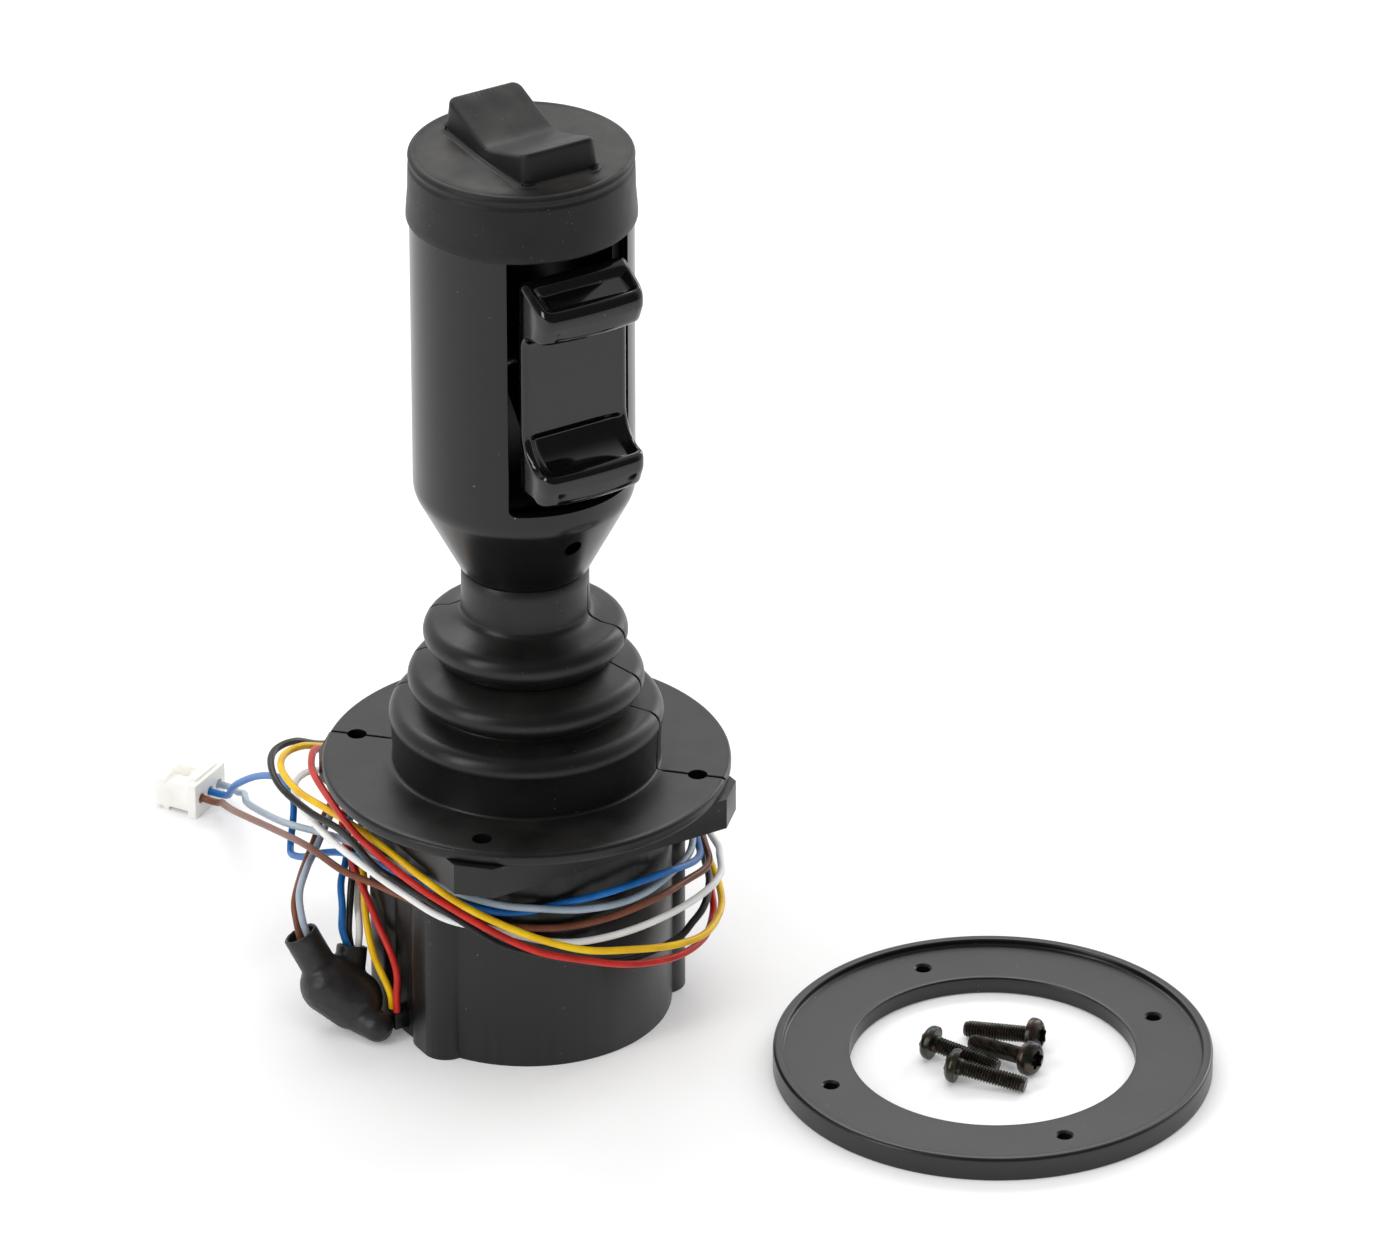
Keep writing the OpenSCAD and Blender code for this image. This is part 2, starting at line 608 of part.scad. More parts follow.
module front_pivot_pin() color([0.7, 0.7, 0.72]) translate([-cheek_out + 0.1, -paddle_pivot, paddle_z])
    along_x(paddle_pin_d, 2 * cheek_out - 0.2);

// ---- Thumb paddle ----
tip_r = 1.6;
// Upper half of the side outline, as distance in front of the axis and height
function paddle_top() = let(c = [paddle_face + paddle_curve, paddle_mid], m = paddle_half)
    concat(arc(c, paddle_curve, 180, 96, 8),
        arc([paddle_reach - tip_r, paddle_mid + paddle_curve + tip_r], tip_r, -80, 62, 6),
        [[paddle_face + 2, m - 1.4], [paddle_face - 0.6, m]],
        [[paddle_face - 2.6, m - 0.4], [paddle_face - paddle_shell, paddle_mid - 1]]);
function flip(p) = [for (i = [len(p) - 1:-1:0]) [p[i][0], -p[i][1]]];

module paddle_outline() polygon([for (q = concat(paddle_top(), flip(paddle_top()))) [-q[0], q[1]]]);

// The hollows in one wing's inner and outer faces, between their rims
module wing_hollows() {
    c = [paddle_face + paddle_curve, paddle_mid];
    m = paddle_half;
    inner = concat(arc(c, paddle_curve + paddle_dish, 166, 104, 6), arc(c, paddle_curve - 2, 104, 166, 6));
    lip = [paddle_reach - tip_r - 0.6, paddle_mid + paddle_curve + 2 * tip_r - 0.6];
    outer = [lip, [lip[0] + 1, lip[1] + 3], [paddle_face + 1.5, m + 2],
        [paddle_face + 1, m - paddle_dish - 1.2]];
    for (q = [inner, outer]) polygon([for (p = q) [-p[0], p[1]]]);
}

ear_d = 8;
ear_w = 2;
ear_web = [[-paddle_face + paddle_shell / 2, paddle_half - 6], [-15, paddle_half - 11],
    [-paddle_pivot, ear_d / 2]];

// Rectangle with round corners
module rounded(w, h, r) {
    square([w, h - 2 * r], center = true);
    square([w - 2 * r, h], center = true);
    for (i = [-1, 1], j = [-1, 1]) translate([i * (w / 2 - r), j * (h / 2 - r)]) circle(r);
}

module thumb_paddle() color([0.05, 0.05, 0.05]) translate([0, 0, paddle_z]) difference() {
    union() {
        intersection() {
            across_x(paddle_w) paddle_outline();
            rotate([90, 0, 0]) linear_extrude(2 * paddle_reach, center = true)
                rounded(paddle_w, 2 * paddle_half + 1, 2.5);
        }
        for (i = [-1, 1]) translate([i * (paddle_w - ear_w) / 2, 0, 0]) {
            across_x(ear_w) polygon(concat(ear_web, flip(ear_web)));
            translate([-ear_w / 2, -paddle_pivot, 0]) along_x(ear_d, ear_w);
        }
    }
    for (k = [0, 1]) mirror([0, 0, k]) across_x(paddle_w - 2 * paddle_rim) wing_hollows();
    translate([-paddle_w, -paddle_pivot, 0]) along_x(paddle_pin_d + 2 * run_gap, 2 * paddle_w);
}

// ---- Cap and top rocker ----
top_pivot_z = cap_top - cap_skin / 2 - 1.8;

module cap() color([0.09, 0.09, 0.09]) difference() {
    rotate_extrude($fn = 96) polygon(concat(
        [[spigot_top_r + 0.1, skirt_z], [skirt_d / 2 - 0.5, skirt_z], [skirt_d / 2, skirt_z + 0.5],
         [cap_d / 2, cap_top - 3.2], [cap_d / 2 + 0.15, cap_top - 1.6]],
        arc([cap_d / 2 - 1.2, cap_top - 1.2], 1.2, 15, 90, 5),
        [[0, cap_top], [0, cap_top - cap_skin], [spigot_top_r + 0.1, cap_top - cap_skin]]));
    translate([-rocker_w / 2 - rocker_gap, -rocker_l / 2 - rocker_gap, cap_top - cap_skin - 1])
        cube([rocker_w + 2 * rocker_gap, rocker_l + 2 * rocker_gap, cap_skin + 2]);
}

top_body = [14, 26];
ear_gap = 8;
pin_half = 6.4;
module top_switch_body() color([0.15, 0.15, 0.16]) difference() {
    union() {
        translate([-top_body[0] / 2, -top_body[1] / 2, deck_z + deck_t])
            cube([top_body[0], top_body[1], top_pivot_z - 4 - deck_z - deck_t]);
        for (i = [-1, 1]) translate([i * (ear_gap / 2 + 1.1), 0, 0]) {
            translate([-1, -2.5, top_pivot_z - 4.1]) cube([2, 5, 4.1]);
            translate([-1, 0, top_pivot_z]) along_x(5, 2);
        }
    }
    translate([-10, 0, top_pivot_z]) along_x(rocker_pin_d + 2 * seat_gap, 20);
}

module top_pivot_pin() color([0.7, 0.7, 0.72]) translate([-pin_half, 0, top_pivot_z])
    along_x(rocker_pin_d, 2 * pin_half);

// Drafted block with round corners, its lower edge at z = 0
module drafted(l, w, h, draft, r) hull() {
    for (i = [-1, 1], j = [-1, 1]) {
        translate([i * (w / 2 - r), j * (l / 2 - r), 0]) cylinder(r = r, h = 0.01, $fn = 24);
        translate([i * (w / 2 - r - draft), j * (l / 2 - r - draft), h - 0.01])
            cylinder(r = r, h = 0.01, $fn = 24);
    }
}

// The V-shaped hollow that the rocker's top dips into
module dip_cut(top, dip, half) across_x(2 * rocker_w)
    polygon([[-half, top + 5], [-half, top], [0, dip], [half, top], [half, top + 5]]);

cover_foot = top_pivot_z - 1.5;
cover_ridge = 2.6;
module rocker_cover() color([0.09, 0.09, 0.09]) {
    ends = cap_top + rocker_rise;
    half = rocker_l / 2 - cover_ridge;
    difference() {
        translate([0, 0, cover_foot]) drafted(rocker_l, rocker_w, ends - cover_foot, 1, 2);
        dip_cut(ends, cap_top + rocker_dip, half);
        difference() {
            translate([0, 0, cover_foot - 1]) drafted(rocker_l - 2 * rocker_wall,
                rocker_w - 2 * rocker_wall, ends - cover_foot + 1 - rocker_wall, 1, 1);
            translate([0, 0, -rocker_wall]) dip_cut(ends, cap_top + rocker_dip, half);
        }
    }
}

lever_w = 7.4;
module rocker_actuator() color([0.85, 0.85, 0.8]) difference() {
    union() {
        translate([0, 0, top_pivot_z]) translate([-lever_w / 2, 0, 0]) along_x(3.6, lever_w);
        for (k = [-1, 1]) across_x(lever_w) polygon([[0, top_pivot_z - 1.4], [k * 14, top_pivot_z - 0.6],
            [k * 14, top_pivot_z + 3], [k * 1.2, cap_top + rocker_dip - rocker_wall - 0.3],
            [0, cap_top + rocker_dip - rocker_wall - 0.4]]);
    }
    translate([-10, 0, top_pivot_z]) along_x(rocker_pin_d + 2 * run_gap, 20);
}

// ---- Bezel ring ----
bezel_at = [73.5, -83];
bezel_turn = -9;
recess_floor = bezel_t - recess_t;

module bezel_ring() color([0.12, 0.12, 0.13]) translate([bezel_at[0], bezel_at[1], 0]) difference() {
    rotate_extrude($fn = 128) polygon([[bezel_bore / 2, 0.6], [bezel_bore / 2 + 0.6, 0],
        [bezel_d / 2 - 1.2, 0], [bezel_d / 2, 1.2], [bezel_d / 2, bezel_t - 0.8],
        [bezel_d / 2 - 0.8, bezel_t],
        [recess_d / 2 + 0.3, bezel_t], [recess_d / 2, bezel_t - 0.3], [recess_d / 2, recess_floor],
        [bezel_bore / 2 + 0.8, recess_floor], [bezel_bore / 2, recess_floor - 0.8]]);
    for (k = [0:3]) rotate([0, 0, bezel_turn + 90 * k])
        translate([panel_r, 0, recess_floor - tap_depth]) cylinder(d = tap_d, h = tap_depth + 2);
}

// Loose screws: head position in plan, and the way the thread points
loose_screws = [[63.2, -84.7, -49.5], [64, -73.4, -58], [78.6, -89.4, 109], [84.8, -81.4, 126]];

module bezel_screws() color([0.15, 0.14, 0.15]) for (s = loose_screws)
    translate([s[0], s[1], bolt_head_d / 2]) rotate([0, 0, s[2]])
        rotate([0, -90 + asin((bolt_head_d - bolt_d) / 2 / bolt_len), 0]) translate([0, 0, -0.01]) {
            translate([0, 0, -bolt_len]) cylinder(d = bolt_d, h = bolt_len + 0.5, $fn = 32);
            difference() {
                cylinder(d = bolt_head_d, h = bolt_head_h);
                translate([0, 0, bolt_head_h - 1.4]) cylinder(d = bolt_d * 0.6, h = 3, $fn = 6);
            }
        }

// ---- Cable exit, splice and connectors ----
tail_z = 3.9;
module cable_grommet() color([0.08, 0.08, 0.08])
    translate([-housing_r - 3.4, -slot_w / 2 + 0.05, housing_floor + 0.1])
        cube([housing_wall + 3.4, slot_w - 0.1, slot_top - housing_floor - 0.2]);

// Straight round piece from a to b
module rod(a, b, d) {
    v = b - a;
    translate(a) rotate([0, acos(v[2] / norm(v)), atan2(v[1], v[0])]) cylinder(d = d, h = norm(v));
}

nozzle_mouth = [-51, 16, 23.5];
nozzle_seat = [-49.2, 14.6, 20];
back_mouth = [-38.4, 14.1, 17.6];
back_seat = [-38.6, 13.7, 15];
splice_body = [[-46, 11.2, 10.8], [-42, 7.9, 7.2]];
splice_tail = [[-42.2, 4, 4.4], [-40.4, -0.6, 3.9]];

module shrink_sleeve() color([0.1, 0.1, 0.1]) difference() {
    union() {
        hull() for (c = splice_body) translate(c) sphere(r = 7, $fn = 24);
        hull() for (c = splice_tail) translate(c) sphere(r = 3.7, $fn = 20);
        rod(nozzle_mouth, splice_body[0], 8.3);
        rod(back_mouth, [-41.5, 11, 9], 7.2);
        rod([-40.4, 0, tail_z], [-housing_r - 3.5, 0, tail_z], 3.4);
    }
    rod(nozzle_mouth + (nozzle_mouth - nozzle_seat), nozzle_seat, 6.6);
    rod(back_mouth + (back_mouth - back_seat), back_seat, 5.8);
}

// White connector with its contacts in a row along X and its mouth at +Y
module connector(ways) {
    w = ways * contact_pitch;
    difference() {
        union() {
            translate([-w / 2, 0, 0]) cube([w, 12, 2 * contact_up - 1]);
            translate([-w / 2 - 0.9, 0, 0]) cube([w + 1.8, 2.2, 2 * contact_up]);
            translate([-w / 2 + 1.2, 1, 2 * contact_up - 1.5]) cube([w - 2.4, 9, 2.1]);
        }
        for (i = [0:ways - 1]) translate([(i - (ways - 1) / 2) * contact_pitch, 0, contact_up]) {
            translate([0, -1, 0]) along_y(wire_d + 0.6, 1.9);
            translate([-1.2, 9, -1.2]) cube([2.4, 4, 2.4]);
        }
    }
}

three_way_at = [-20.5, 114];
four_way_at = [32, 54.5];
module connector_three_way() color([0.93, 0.93, 0.9])
    translate(three_way_at) rotate([0, 0, 30]) connector(3);

module connector_four_way() color([0.93, 0.93, 0.9])
    translate(four_way_at) rotate([0, 0, -120]) connector(4);

module wire(points) sweep(smooth(points), wire_d / 2, 8);

// Routes of the seven wires, from their exit to their connector
yellow_route = [
    [-35.5, 1, 6.5], [-36, 1.5, 11], [-37.5, 6, 19], [-36.5, 11, 26.5], [-34, 16, 32.5], [-30, 23, 37.5],
    [-17.5, 35, 40.5], [5, 40, 40], [24, 33.5, 37.5], [39.5, 17.5, 34], [44.5, 0, 31], [41, -13, 29],
    [38.5, -21, 27.5], [34, -29, 26.5], [25.5, -36.5, 26.5], [15, -40.5, 28.5], [2.5, -41.5, 31.5],
    [-8.5, -40, 34], [-18.5, -36, 38], [-27.5, -31, 43], [-33.5, -26, 47], [-38.5, -20.5, 51.5],
    [-39, -5.5, 51.5], [-40.5, 8.5, 52], [-41.5, 19.5, 51.5], [-42.5, 30.5, 51], [-41, 41, 51],
    [-36.5, 48, 50.5], [-30, 51, 49.5], [-22, 53.5, 46], [-8.5, 55.5, 43], [4, 58.5, 31],
    [15.5, 58.5, 17], [20.5, 57.5, 10], [24.5, 56.5, 6], [28, 54.5, 4.5], [31.5, 52.5, 4.5]];
red_route = [
    [-35.5, -1, 6.5], [-35.5, -1, 11], [-35, -0.5, 15.5], [-35.5, 1, 20.5], [-36, 6, 26],
    [-36.5, 11.5, 32.5], [-36.5, 17, 37.5], [-33.5, 26, 44], [-17.5, 38, 46.5], [4, 42.5, 42.5],
    [26.5, 35.5, 37], [41.5, 19, 30.5], [45, -1.5, 27], [38, -18.5, 24.5], [34.5, -24.5, 22],
    [27.5, -31.5, 21.5], [17, -37, 23], [4, -39, 26], [-7.5, -38, 30], [-17.5, -34.5, 33.5],
    [-26.5, -29.5, 39], [-34.5, -23, 45], [-39.5, -16.5, 49], [-41.5, -4.5, 51], [-43, 4.5, 53.5],
    [-41.5, 17, 54.5], [-38, 31.5, 54], [-34.5, 38.5, 54], [-31, 42.5, 53], [-25, 45.5, 50],
    [-13, 50, 45], [-1.5, 53.5, 35], [11.5, 54, 21], [17.5, 53.5, 12], [22.5, 52.5, 6.5], [26, 51, 4.5],
    [29.5, 49, 4.5]];
black_route = [
    [-38, 15.5, 16], [-38.5, 15.5, 20.5], [-37.5, 16.5, 26.5], [-35.5, 19, 31.5], [-30, 26.5, 37.5],
    [-16.5, 37.5, 37.5], [4, 39.5, 36], [23, 32, 33], [37, 18, 31], [42, -2, 31.5], [37, -18, 31],
    [33.5, -24.5, 30], [29.5, -29, 28.5], [25, -31.5, 27], [19, -34, 25.5], [5.5, -36.5, 25.5],
    [-7.5, -36, 28.5], [-15, -33.5, 31], [-24.5, -29.5, 35], [-32.5, -24, 41.5], [-38.5, -14.5, 46],
    [-43, -6, 49], [-41.5, 12, 49], [-42, 26.5, 47.5], [-42.5, 38.5, 48], [-40.5, 47, 49],
    [-36.5, 52.5, 49.5], [-29.5, 55.5, 48.5], [-19.5, 58.5, 43.5], [-5.5, 60.5, 42], [7, 63, 29],
    [18, 62.5, 15], [24, 61, 8.5], [30, 58, 4.5], [33.5, 56, 4.5]];
white_route = [
    [-37.5, 13, 16.5], [-36.5, 14, 21.5], [-35, 17.5, 26], [-33.5, 19.5, 30.5], [-28, 26.5, 33.5],
    [-15, 35.5, 34.5], [4, 37.5, 33.5], [22, 30.5, 31], [35, 16.5, 33], [42.5, -2, 35.5],
    [39.5, -18, 37], [36.5, -24.5, 37.5], [33, -30.5, 37], [26.5, -35.5, 37], [18, -35.5, 34],
    [5, -37, 33.5], [-6, -35, 33], [-14, -32, 34], [-23.5, -28, 37.5], [-33.5, -20.5, 40],
    [-39.5, -11, 44], [-42, 1, 45.5], [-43, 13.5, 46], [-41, 27, 44.5], [-38.5, 38.5, 43.5],
    [-35.5, 45, 44], [-30.5, 49, 43.5], [-23.5, 52, 41], [-5, 57, 35], [7.5, 62, 20], [20, 65, 9],
    [26.5, 64, 5.5], [32, 61.5, 4.5], [35.5, 59.5, 4.5]];
brown_route = [
    [-51, 15.5, 21.5], [-51, 17, 25], [-50, 20, 29], [-46, 24.5, 32], [-41, 29.5, 34], [-31.5, 35.5, 42],
    [-18.5, 42, 45], [1.5, 42, 46.5], [22.5, 33.5, 44.5], [37.5, 17, 41], [41.5, -2, 38.5],
    [36.5, -18, 37.5], [33, -25, 36.5], [24.5, -30, 37.5], [11.5, -36, 39], [0, -35.5, 37.5],
    [-10.5, -33, 37], [-19.5, -28.5, 37.5], [-24.5, -24.5, 38], [-31, -20, 39.5], [-36.5, -12, 41],
    [-39, 0.5, 40], [-42.5, 10.5, 40], [-43, 26, 39], [-37.5, 53, 29], [-31.5, 81, 18], [-25.5, 98, 10],
    [-22.5, 104.5, 6.5], [-22, 108.5, 4.5], [-24, 112.5, 4.5]];
grey_route = [
    [-49.5, 14.5, 22.5], [-50.5, 15.5, 27], [-49.5, 18.5, 32], [-45.5, 22.5, 35], [-40, 28, 36],
    [-30, 33.5, 44.5], [-17, 39, 49], [1, 40, 50], [22.5, 31.5, 49.5], [34.5, 17.5, 47],
    [39, -1.5, 44.5], [31, -21.5, 41], [16.5, -33.5, 42], [6, -35.5, 40.5], [-6.5, -36, 42],
    [-16.5, -32.5, 43.5], [-24, -28, 44.5], [-31.5, -22, 47], [-37.5, -15, 50], [-40, 0, 48.5],
    [-40.5, 12, 46.5], [-40, 25.5, 42], [-37.5, 43.5, 34.5], [-31.5, 63.5, 25], [-25.5, 86, 16],
    [-19, 100, 10], [-16, 108.5, 5.5], [-15.5, 113, 4.5], [-17.5, 116.5, 4.5]];
blue_route = [
    [-39.5, 14, 17], [-40.5, 15, 22], [-39.5, 16.5, 26.5], [-37.5, 20.5, 30.5], [-33.5, 25, 33.5],
    [-28, 31, 43], [-16.5, 35.5, 45.5], [3, 37.5, 46.5], [22, 30, 46], [35, 17, 43], [40, -2, 41],
    [34.5, -18, 39], [28.5, -27.5, 40.5], [14.5, -36.5, 45.5], [-1, -37.5, 45.5], [-10, -33.5, 43.5],
    [-20, -28.5, 41.5], [-28.5, -23, 43], [-33, -17.5, 45.5], [-37.5, -9.5, 47], [-37.5, 6.5, 43],
    [-38, 19.5, 39], [-38.5, 29.5, 34], [-38.5, 36, 30], [-38, 41.5, 27.5], [-37, 45, 26.5],
    [-35.5, 47.5, 28], [-34, 49, 32], [-33, 50.5, 36.5], [-32.5, 54.5, 39], [-31.5, 62.5, 36.5],
    [-28.5, 77, 28.5], [-25, 92.5, 18], [-21.5, 102, 10.5], [-19.5, 107, 6.5], [-19, 111, 4.5],
    [-21, 114.5, 4.5]];

module wire_yellow() color([0.9, 0.72, 0.05]) wire(yellow_route);
module wire_red() color([0.8, 0.15, 0.12]) wire(red_route);
module wire_black() color([0.15, 0.15, 0.15]) wire(black_route);
module wire_white() color([0.93, 0.93, 0.91]) wire(white_route);
module wire_brown() color([0.42, 0.24, 0.16]) wire(brown_route);
module wire_grey() color([0.62, 0.67, 0.72]) wire(grey_route);
module wire_blue() color([0.1, 0.42, 0.75]) wire(blue_route);

housing();
mounting_plate();
housing_screws();
bearing_brackets();
bracket_screws();
trunnion_bushes();
circuit_board();
board_screws();
hall_sensor();
pin_header();
cable_grommet();
boot();
bezel_ring();
bezel_screws();
shrink_sleeve();
connector_three_way();
connector_four_way();
x_return_spring();
wire_yellow();
wire_red();
wire_black();
wire_white();
wire_brown();
wire_grey();
wire_blue();
gimbal_ring();
trunnion_pins();
cross_bushes();
y_return_spring();
shaft();
shaft_hub();
cross_pins();
magnet_holder();
sensing_magnet();
handle_body();
clamp_screw();
switch_carrier();
carrier_screws();
front_switch_body();
front_pivot_pin();
top_switch_body();
top_pivot_pin();
cap();
thumb_paddle();
rocker_actuator();
rocker_cover();
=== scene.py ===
from contextlib import contextmanager
import math
import bmesh
import bpy
import numpy as np
from mathutils import Matrix, Vector
from mathutils.geometry import delaunay_2d_cdt


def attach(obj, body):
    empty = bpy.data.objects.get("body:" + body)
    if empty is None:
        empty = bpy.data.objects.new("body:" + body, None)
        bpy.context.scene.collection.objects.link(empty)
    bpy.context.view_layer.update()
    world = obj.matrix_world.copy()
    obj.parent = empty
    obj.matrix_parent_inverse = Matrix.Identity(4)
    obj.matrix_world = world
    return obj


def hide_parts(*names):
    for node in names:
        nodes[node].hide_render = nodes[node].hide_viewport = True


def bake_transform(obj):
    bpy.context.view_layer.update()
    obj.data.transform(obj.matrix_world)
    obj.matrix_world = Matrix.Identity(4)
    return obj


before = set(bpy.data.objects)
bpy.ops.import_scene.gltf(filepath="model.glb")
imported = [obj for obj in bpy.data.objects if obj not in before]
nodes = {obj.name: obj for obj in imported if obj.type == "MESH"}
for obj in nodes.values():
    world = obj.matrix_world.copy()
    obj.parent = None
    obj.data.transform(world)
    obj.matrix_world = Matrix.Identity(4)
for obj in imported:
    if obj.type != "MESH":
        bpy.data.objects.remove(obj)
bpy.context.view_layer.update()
mm = 0.001


# A new object in the scene that holds this data
def linked(name, data):
    made = bpy.data.objects.new(name, data)
    bpy.context.scene.collection.objects.link(made)
    return made


# A long lens to the left front of the joystick, looking down on it
camera = {
    "place": (-1.0488, -1.8010, 1.2269),
    "forward": (0.4565, 0.7509, -0.4772),
    "lens": 270,
    "sensor": 36,
}


def addCamera(look):
    data = bpy.data.cameras.new("camera")
    data.lens, data.sensor_width = look["lens"], look["sensor"]
    data.clip_start, data.clip_end = 0.1, 20
    made = linked("camera", data)
    made.location = look["place"]
    made.rotation_euler = Vector(look["forward"]).to_track_quat("-Z", "Y").to_euler()
    bpy.context.scene.camera = made


addCamera(camera)
print("camera set")


# Shades every face of a piece smooth or flat
def shade(piece, smooth=True):
    faces = piece.data.polygons
    faces.foreach_set("use_smooth", np.full(len(faces), smooth))
    return piece


# A mesh object at the origin from points in millimetres and rows of corner numbers
def addMesh(name, points, faces, smooth=True):
    mesh = bpy.data.meshes.new(name)
    mesh.from_pydata((np.asarray(points) * mm).tolist(), [], [list(face) for face in faces])
    mesh.validate()
    return shade(linked(name, mesh), smooth)


# Face (i, j) joins rows i and i + 1 between columns j and j + 1, round the back where wrapped
def gridFaces(rows, cols, wrapCols=True, wrapRows=False):
    i, j = np.meshgrid(np.arange(rows if wrapRows else rows - 1),
                       np.arange(cols if wrapCols else cols - 1), indexing="ij")
    below, above, left, right = i * cols, ((i + 1) % rows) * cols, j, (j + 1) % cols
    return np.stack([below + left, below + right, above + right, above + left], -1).reshape(-1, 4).tolist()


# Points on a circle: centre + radius (cos a, sin a), a going evenly from start to end in degrees
def arcPoints(centre, radius, start, end, count):
    a = np.radians(np.linspace(start, end, count))
    return np.stack([centre[0] + radius * np.cos(a), centre[1] + radius * np.sin(a)], -1)


# Even angles once round
def fullTurn(count):
    return np.linspace(0, 2 * math.pi, count, endpoint=False)


# An open path whose inner corners are replaced by parabolas that leave the sides a reach from the corner
def roundPath(corners, reach, steps=5):
    p = np.asarray(corners, float)
    here, before, after = p[1:-1], p[:-2], p[2:]
    reach = np.asarray(reach, float)[:, None]
    a = here + (before - here) / np.linalg.norm(before - here, axis=1)[:, None] * reach
    b = here + (after - here) / np.linalg.norm(after - here, axis=1)[:, None] * reach
    t = np.linspace(0, 1, steps)[None, :, None]
    curve = (1 - t) ** 2 * a[:, None] + 2 * t * (1 - t) * here[:, None] + t ** 2 * b[:, None]
    return np.vstack([p[:1], curve.reshape(-1, 2), p[-1:]])


# Profile (radius, height) turned about Z: x = r cos a, y = r sin a, z = h, for each angle a
def revolve(name, profile, angles, wrapRows=False, squeeze=None):
    profile = np.asarray(profile, float)
    r, h = profile[:, 0][:, None], profile[:, 1][:, None]
    a = angles[None, :]
    if squeeze is not None:
        r, h = squeeze(r, h, a)
    points = np.stack([r * np.cos(a), r * np.sin(a), h + 0 * a], -1).reshape(-1, 3)
    return addMesh(name, points, gridFaces(len(profile), len(angles), True, wrapRows))


# Catmull-Rom curve: each span is the cubic through its ends, its slopes half the chord of the neighbours
def smoothCurve(points, steps=2):
    p = np.asarray(points, float)
    p = np.vstack([2 * p[0] - p[1], p, 2 * p[-1] - p[-2]])
    a, b, c, d = p[:-3], p[1:-2], p[2:-1], p[3:]
    t = (np.arange(steps) / steps)[None, :, None]
    a, b, c, d = (q[:, None] for q in (a, b, c, d))
    spans = 0.5 * (2 * b + (c - a) * t + (2 * a - 5 * b + 4 * c - d) * t ** 2
                   + (3 * b - a - 3 * c + d) * t ** 3)
    return np.vstack([spans.reshape(-1, 3), p[-2]])


# The same curve sampled at an even spacing along its length
def evenCurve(points, spacing):
    fine = smoothCurve(points, 12)
    run = np.concatenate([[0], np.cumsum(np.linalg.norm(np.diff(fine, axis=0), axis=1))])
    at = np.linspace(0, run[-1], max(2, int(round(run[-1] / spacing)) + 1))
    return np.stack([np.interp(at, run, fine[:, k]) for k in range(3)], -1), run[-1]


# The piece with its modifiers made real
def applied(piece):
    view = bpy.context.evaluated_depsgraph_get()
    view.update()
    mesh = bpy.data.meshes.new_from_object(piece.evaluated_get(view))
    old = piece.data
    piece.modifiers.clear()
    piece.data = mesh
    bpy.data.meshes.remove(old)
    return piece


# Opens a mesh for editing and writes it back
@contextmanager
def editing(mesh):
    work = bmesh.new()
    work.from_mesh(mesh)
    work.verts.ensure_lookup_table()
    yield work
    work.to_mesh(mesh)
    work.free()


# A joined-up copy of a CAD node's mesh, its flat faces made whole, ready for rounded edges
def mergedCopy(node, name):
    work = bmesh.new()
    work.from_mesh(nodes[node].data)
    bmesh.ops.remove_doubles(work, verts=work.verts, dist=2e-6)
    bmesh.ops.dissolve_limit(work, angle_limit=math.radians(0.6), verts=work.verts, edges=work.edges)
    mesh = bpy.data.meshes.new(name)
    work.to_mesh(mesh)
    work.free()
    return shade(linked(name, mesh))


# A bevel on every edge sharper than the angle
def roundedEdges(piece, width, angle=32, segments=2):
    bevel = piece.modifiers.new("edges", "BEVEL")
    bevel.width, bevel.segments, bevel.limit_method = width * mm, segments, "ANGLE"
    bevel.angle_limit = math.radians(angle)
    bevel.harden_normals = True
    bevel.use_clamp_overlap = True
    return piece


# Merges points that lie on one another, fills the holes if asked, and turns every face outward
def mergeClose(piece, within=4e-6, fillHoles=False):
    with editing(piece.data) as work:
        bmesh.ops.remove_doubles(work, verts=work.verts, dist=within)
        if fillHoles:
            bmesh.ops.holes_fill(work, edges=work.edges, sides=60)
        bmesh.ops.recalc_face_normals(work, faces=work.faces)


# A closed outline in X and Z carried along Y between two places
def addPrism(name, outline, span):
    count = len(outline)
    points = np.concatenate([
        np.column_stack([outline[:, 0], np.full(count, y), outline[:, 1]]) for y in span])
    ends = [list(range(count)), list(range(2 * count - 1, count - 1, -1))]
    made = addMesh(name, points, gridFaces(2, count) + ends, False)
    with editing(made.data) as work:
        bmesh.ops.recalc_face_normals(work, faces=work.faces)
    return made


# Moves a piece's mesh across the floor, in millimetres
def shifted(piece, x, y):
    piece.data.transform(Matrix.Translation((x * mm, y * mm, 0)))


# Takes a tool's volume out of a piece, and the tool out of the scene
def cutBy(piece, tool):
    cut = piece.modifiers.new("cut", "BOOLEAN")
    cut.operation, cut.object, cut.solver = "DIFFERENCE", tool, "EXACT"
    applied(piece)
    bpy.data.objects.remove(tool)


# Cuts a turned tool of this side view into a piece
def drill(piece, profile, count, x, y):
    tool = revolve("drill", profile, fullTurn(count))
    mergeClose(tool)
    shifted(tool, x, y)
    cutBy(piece, tool)


# An even skin of small cells over a piece, then eased
def reskinned(piece, cell, passes):
    skin = piece.modifiers.new("skin", "REMESH")
    skin.mode, skin.voxel_size = "VOXEL", cell * mm
    ease = piece.modifiers.new("ease", "SMOOTH")
    ease.factor, ease.iterations = 0.5, passes
    return shade(applied(piece))


# Creases in the shading where an edge is sharper than this
def sharp(piece, degrees):
    shade(piece)
    piece.data.set_sharp_from_angle(angle=math.radians(degrees))


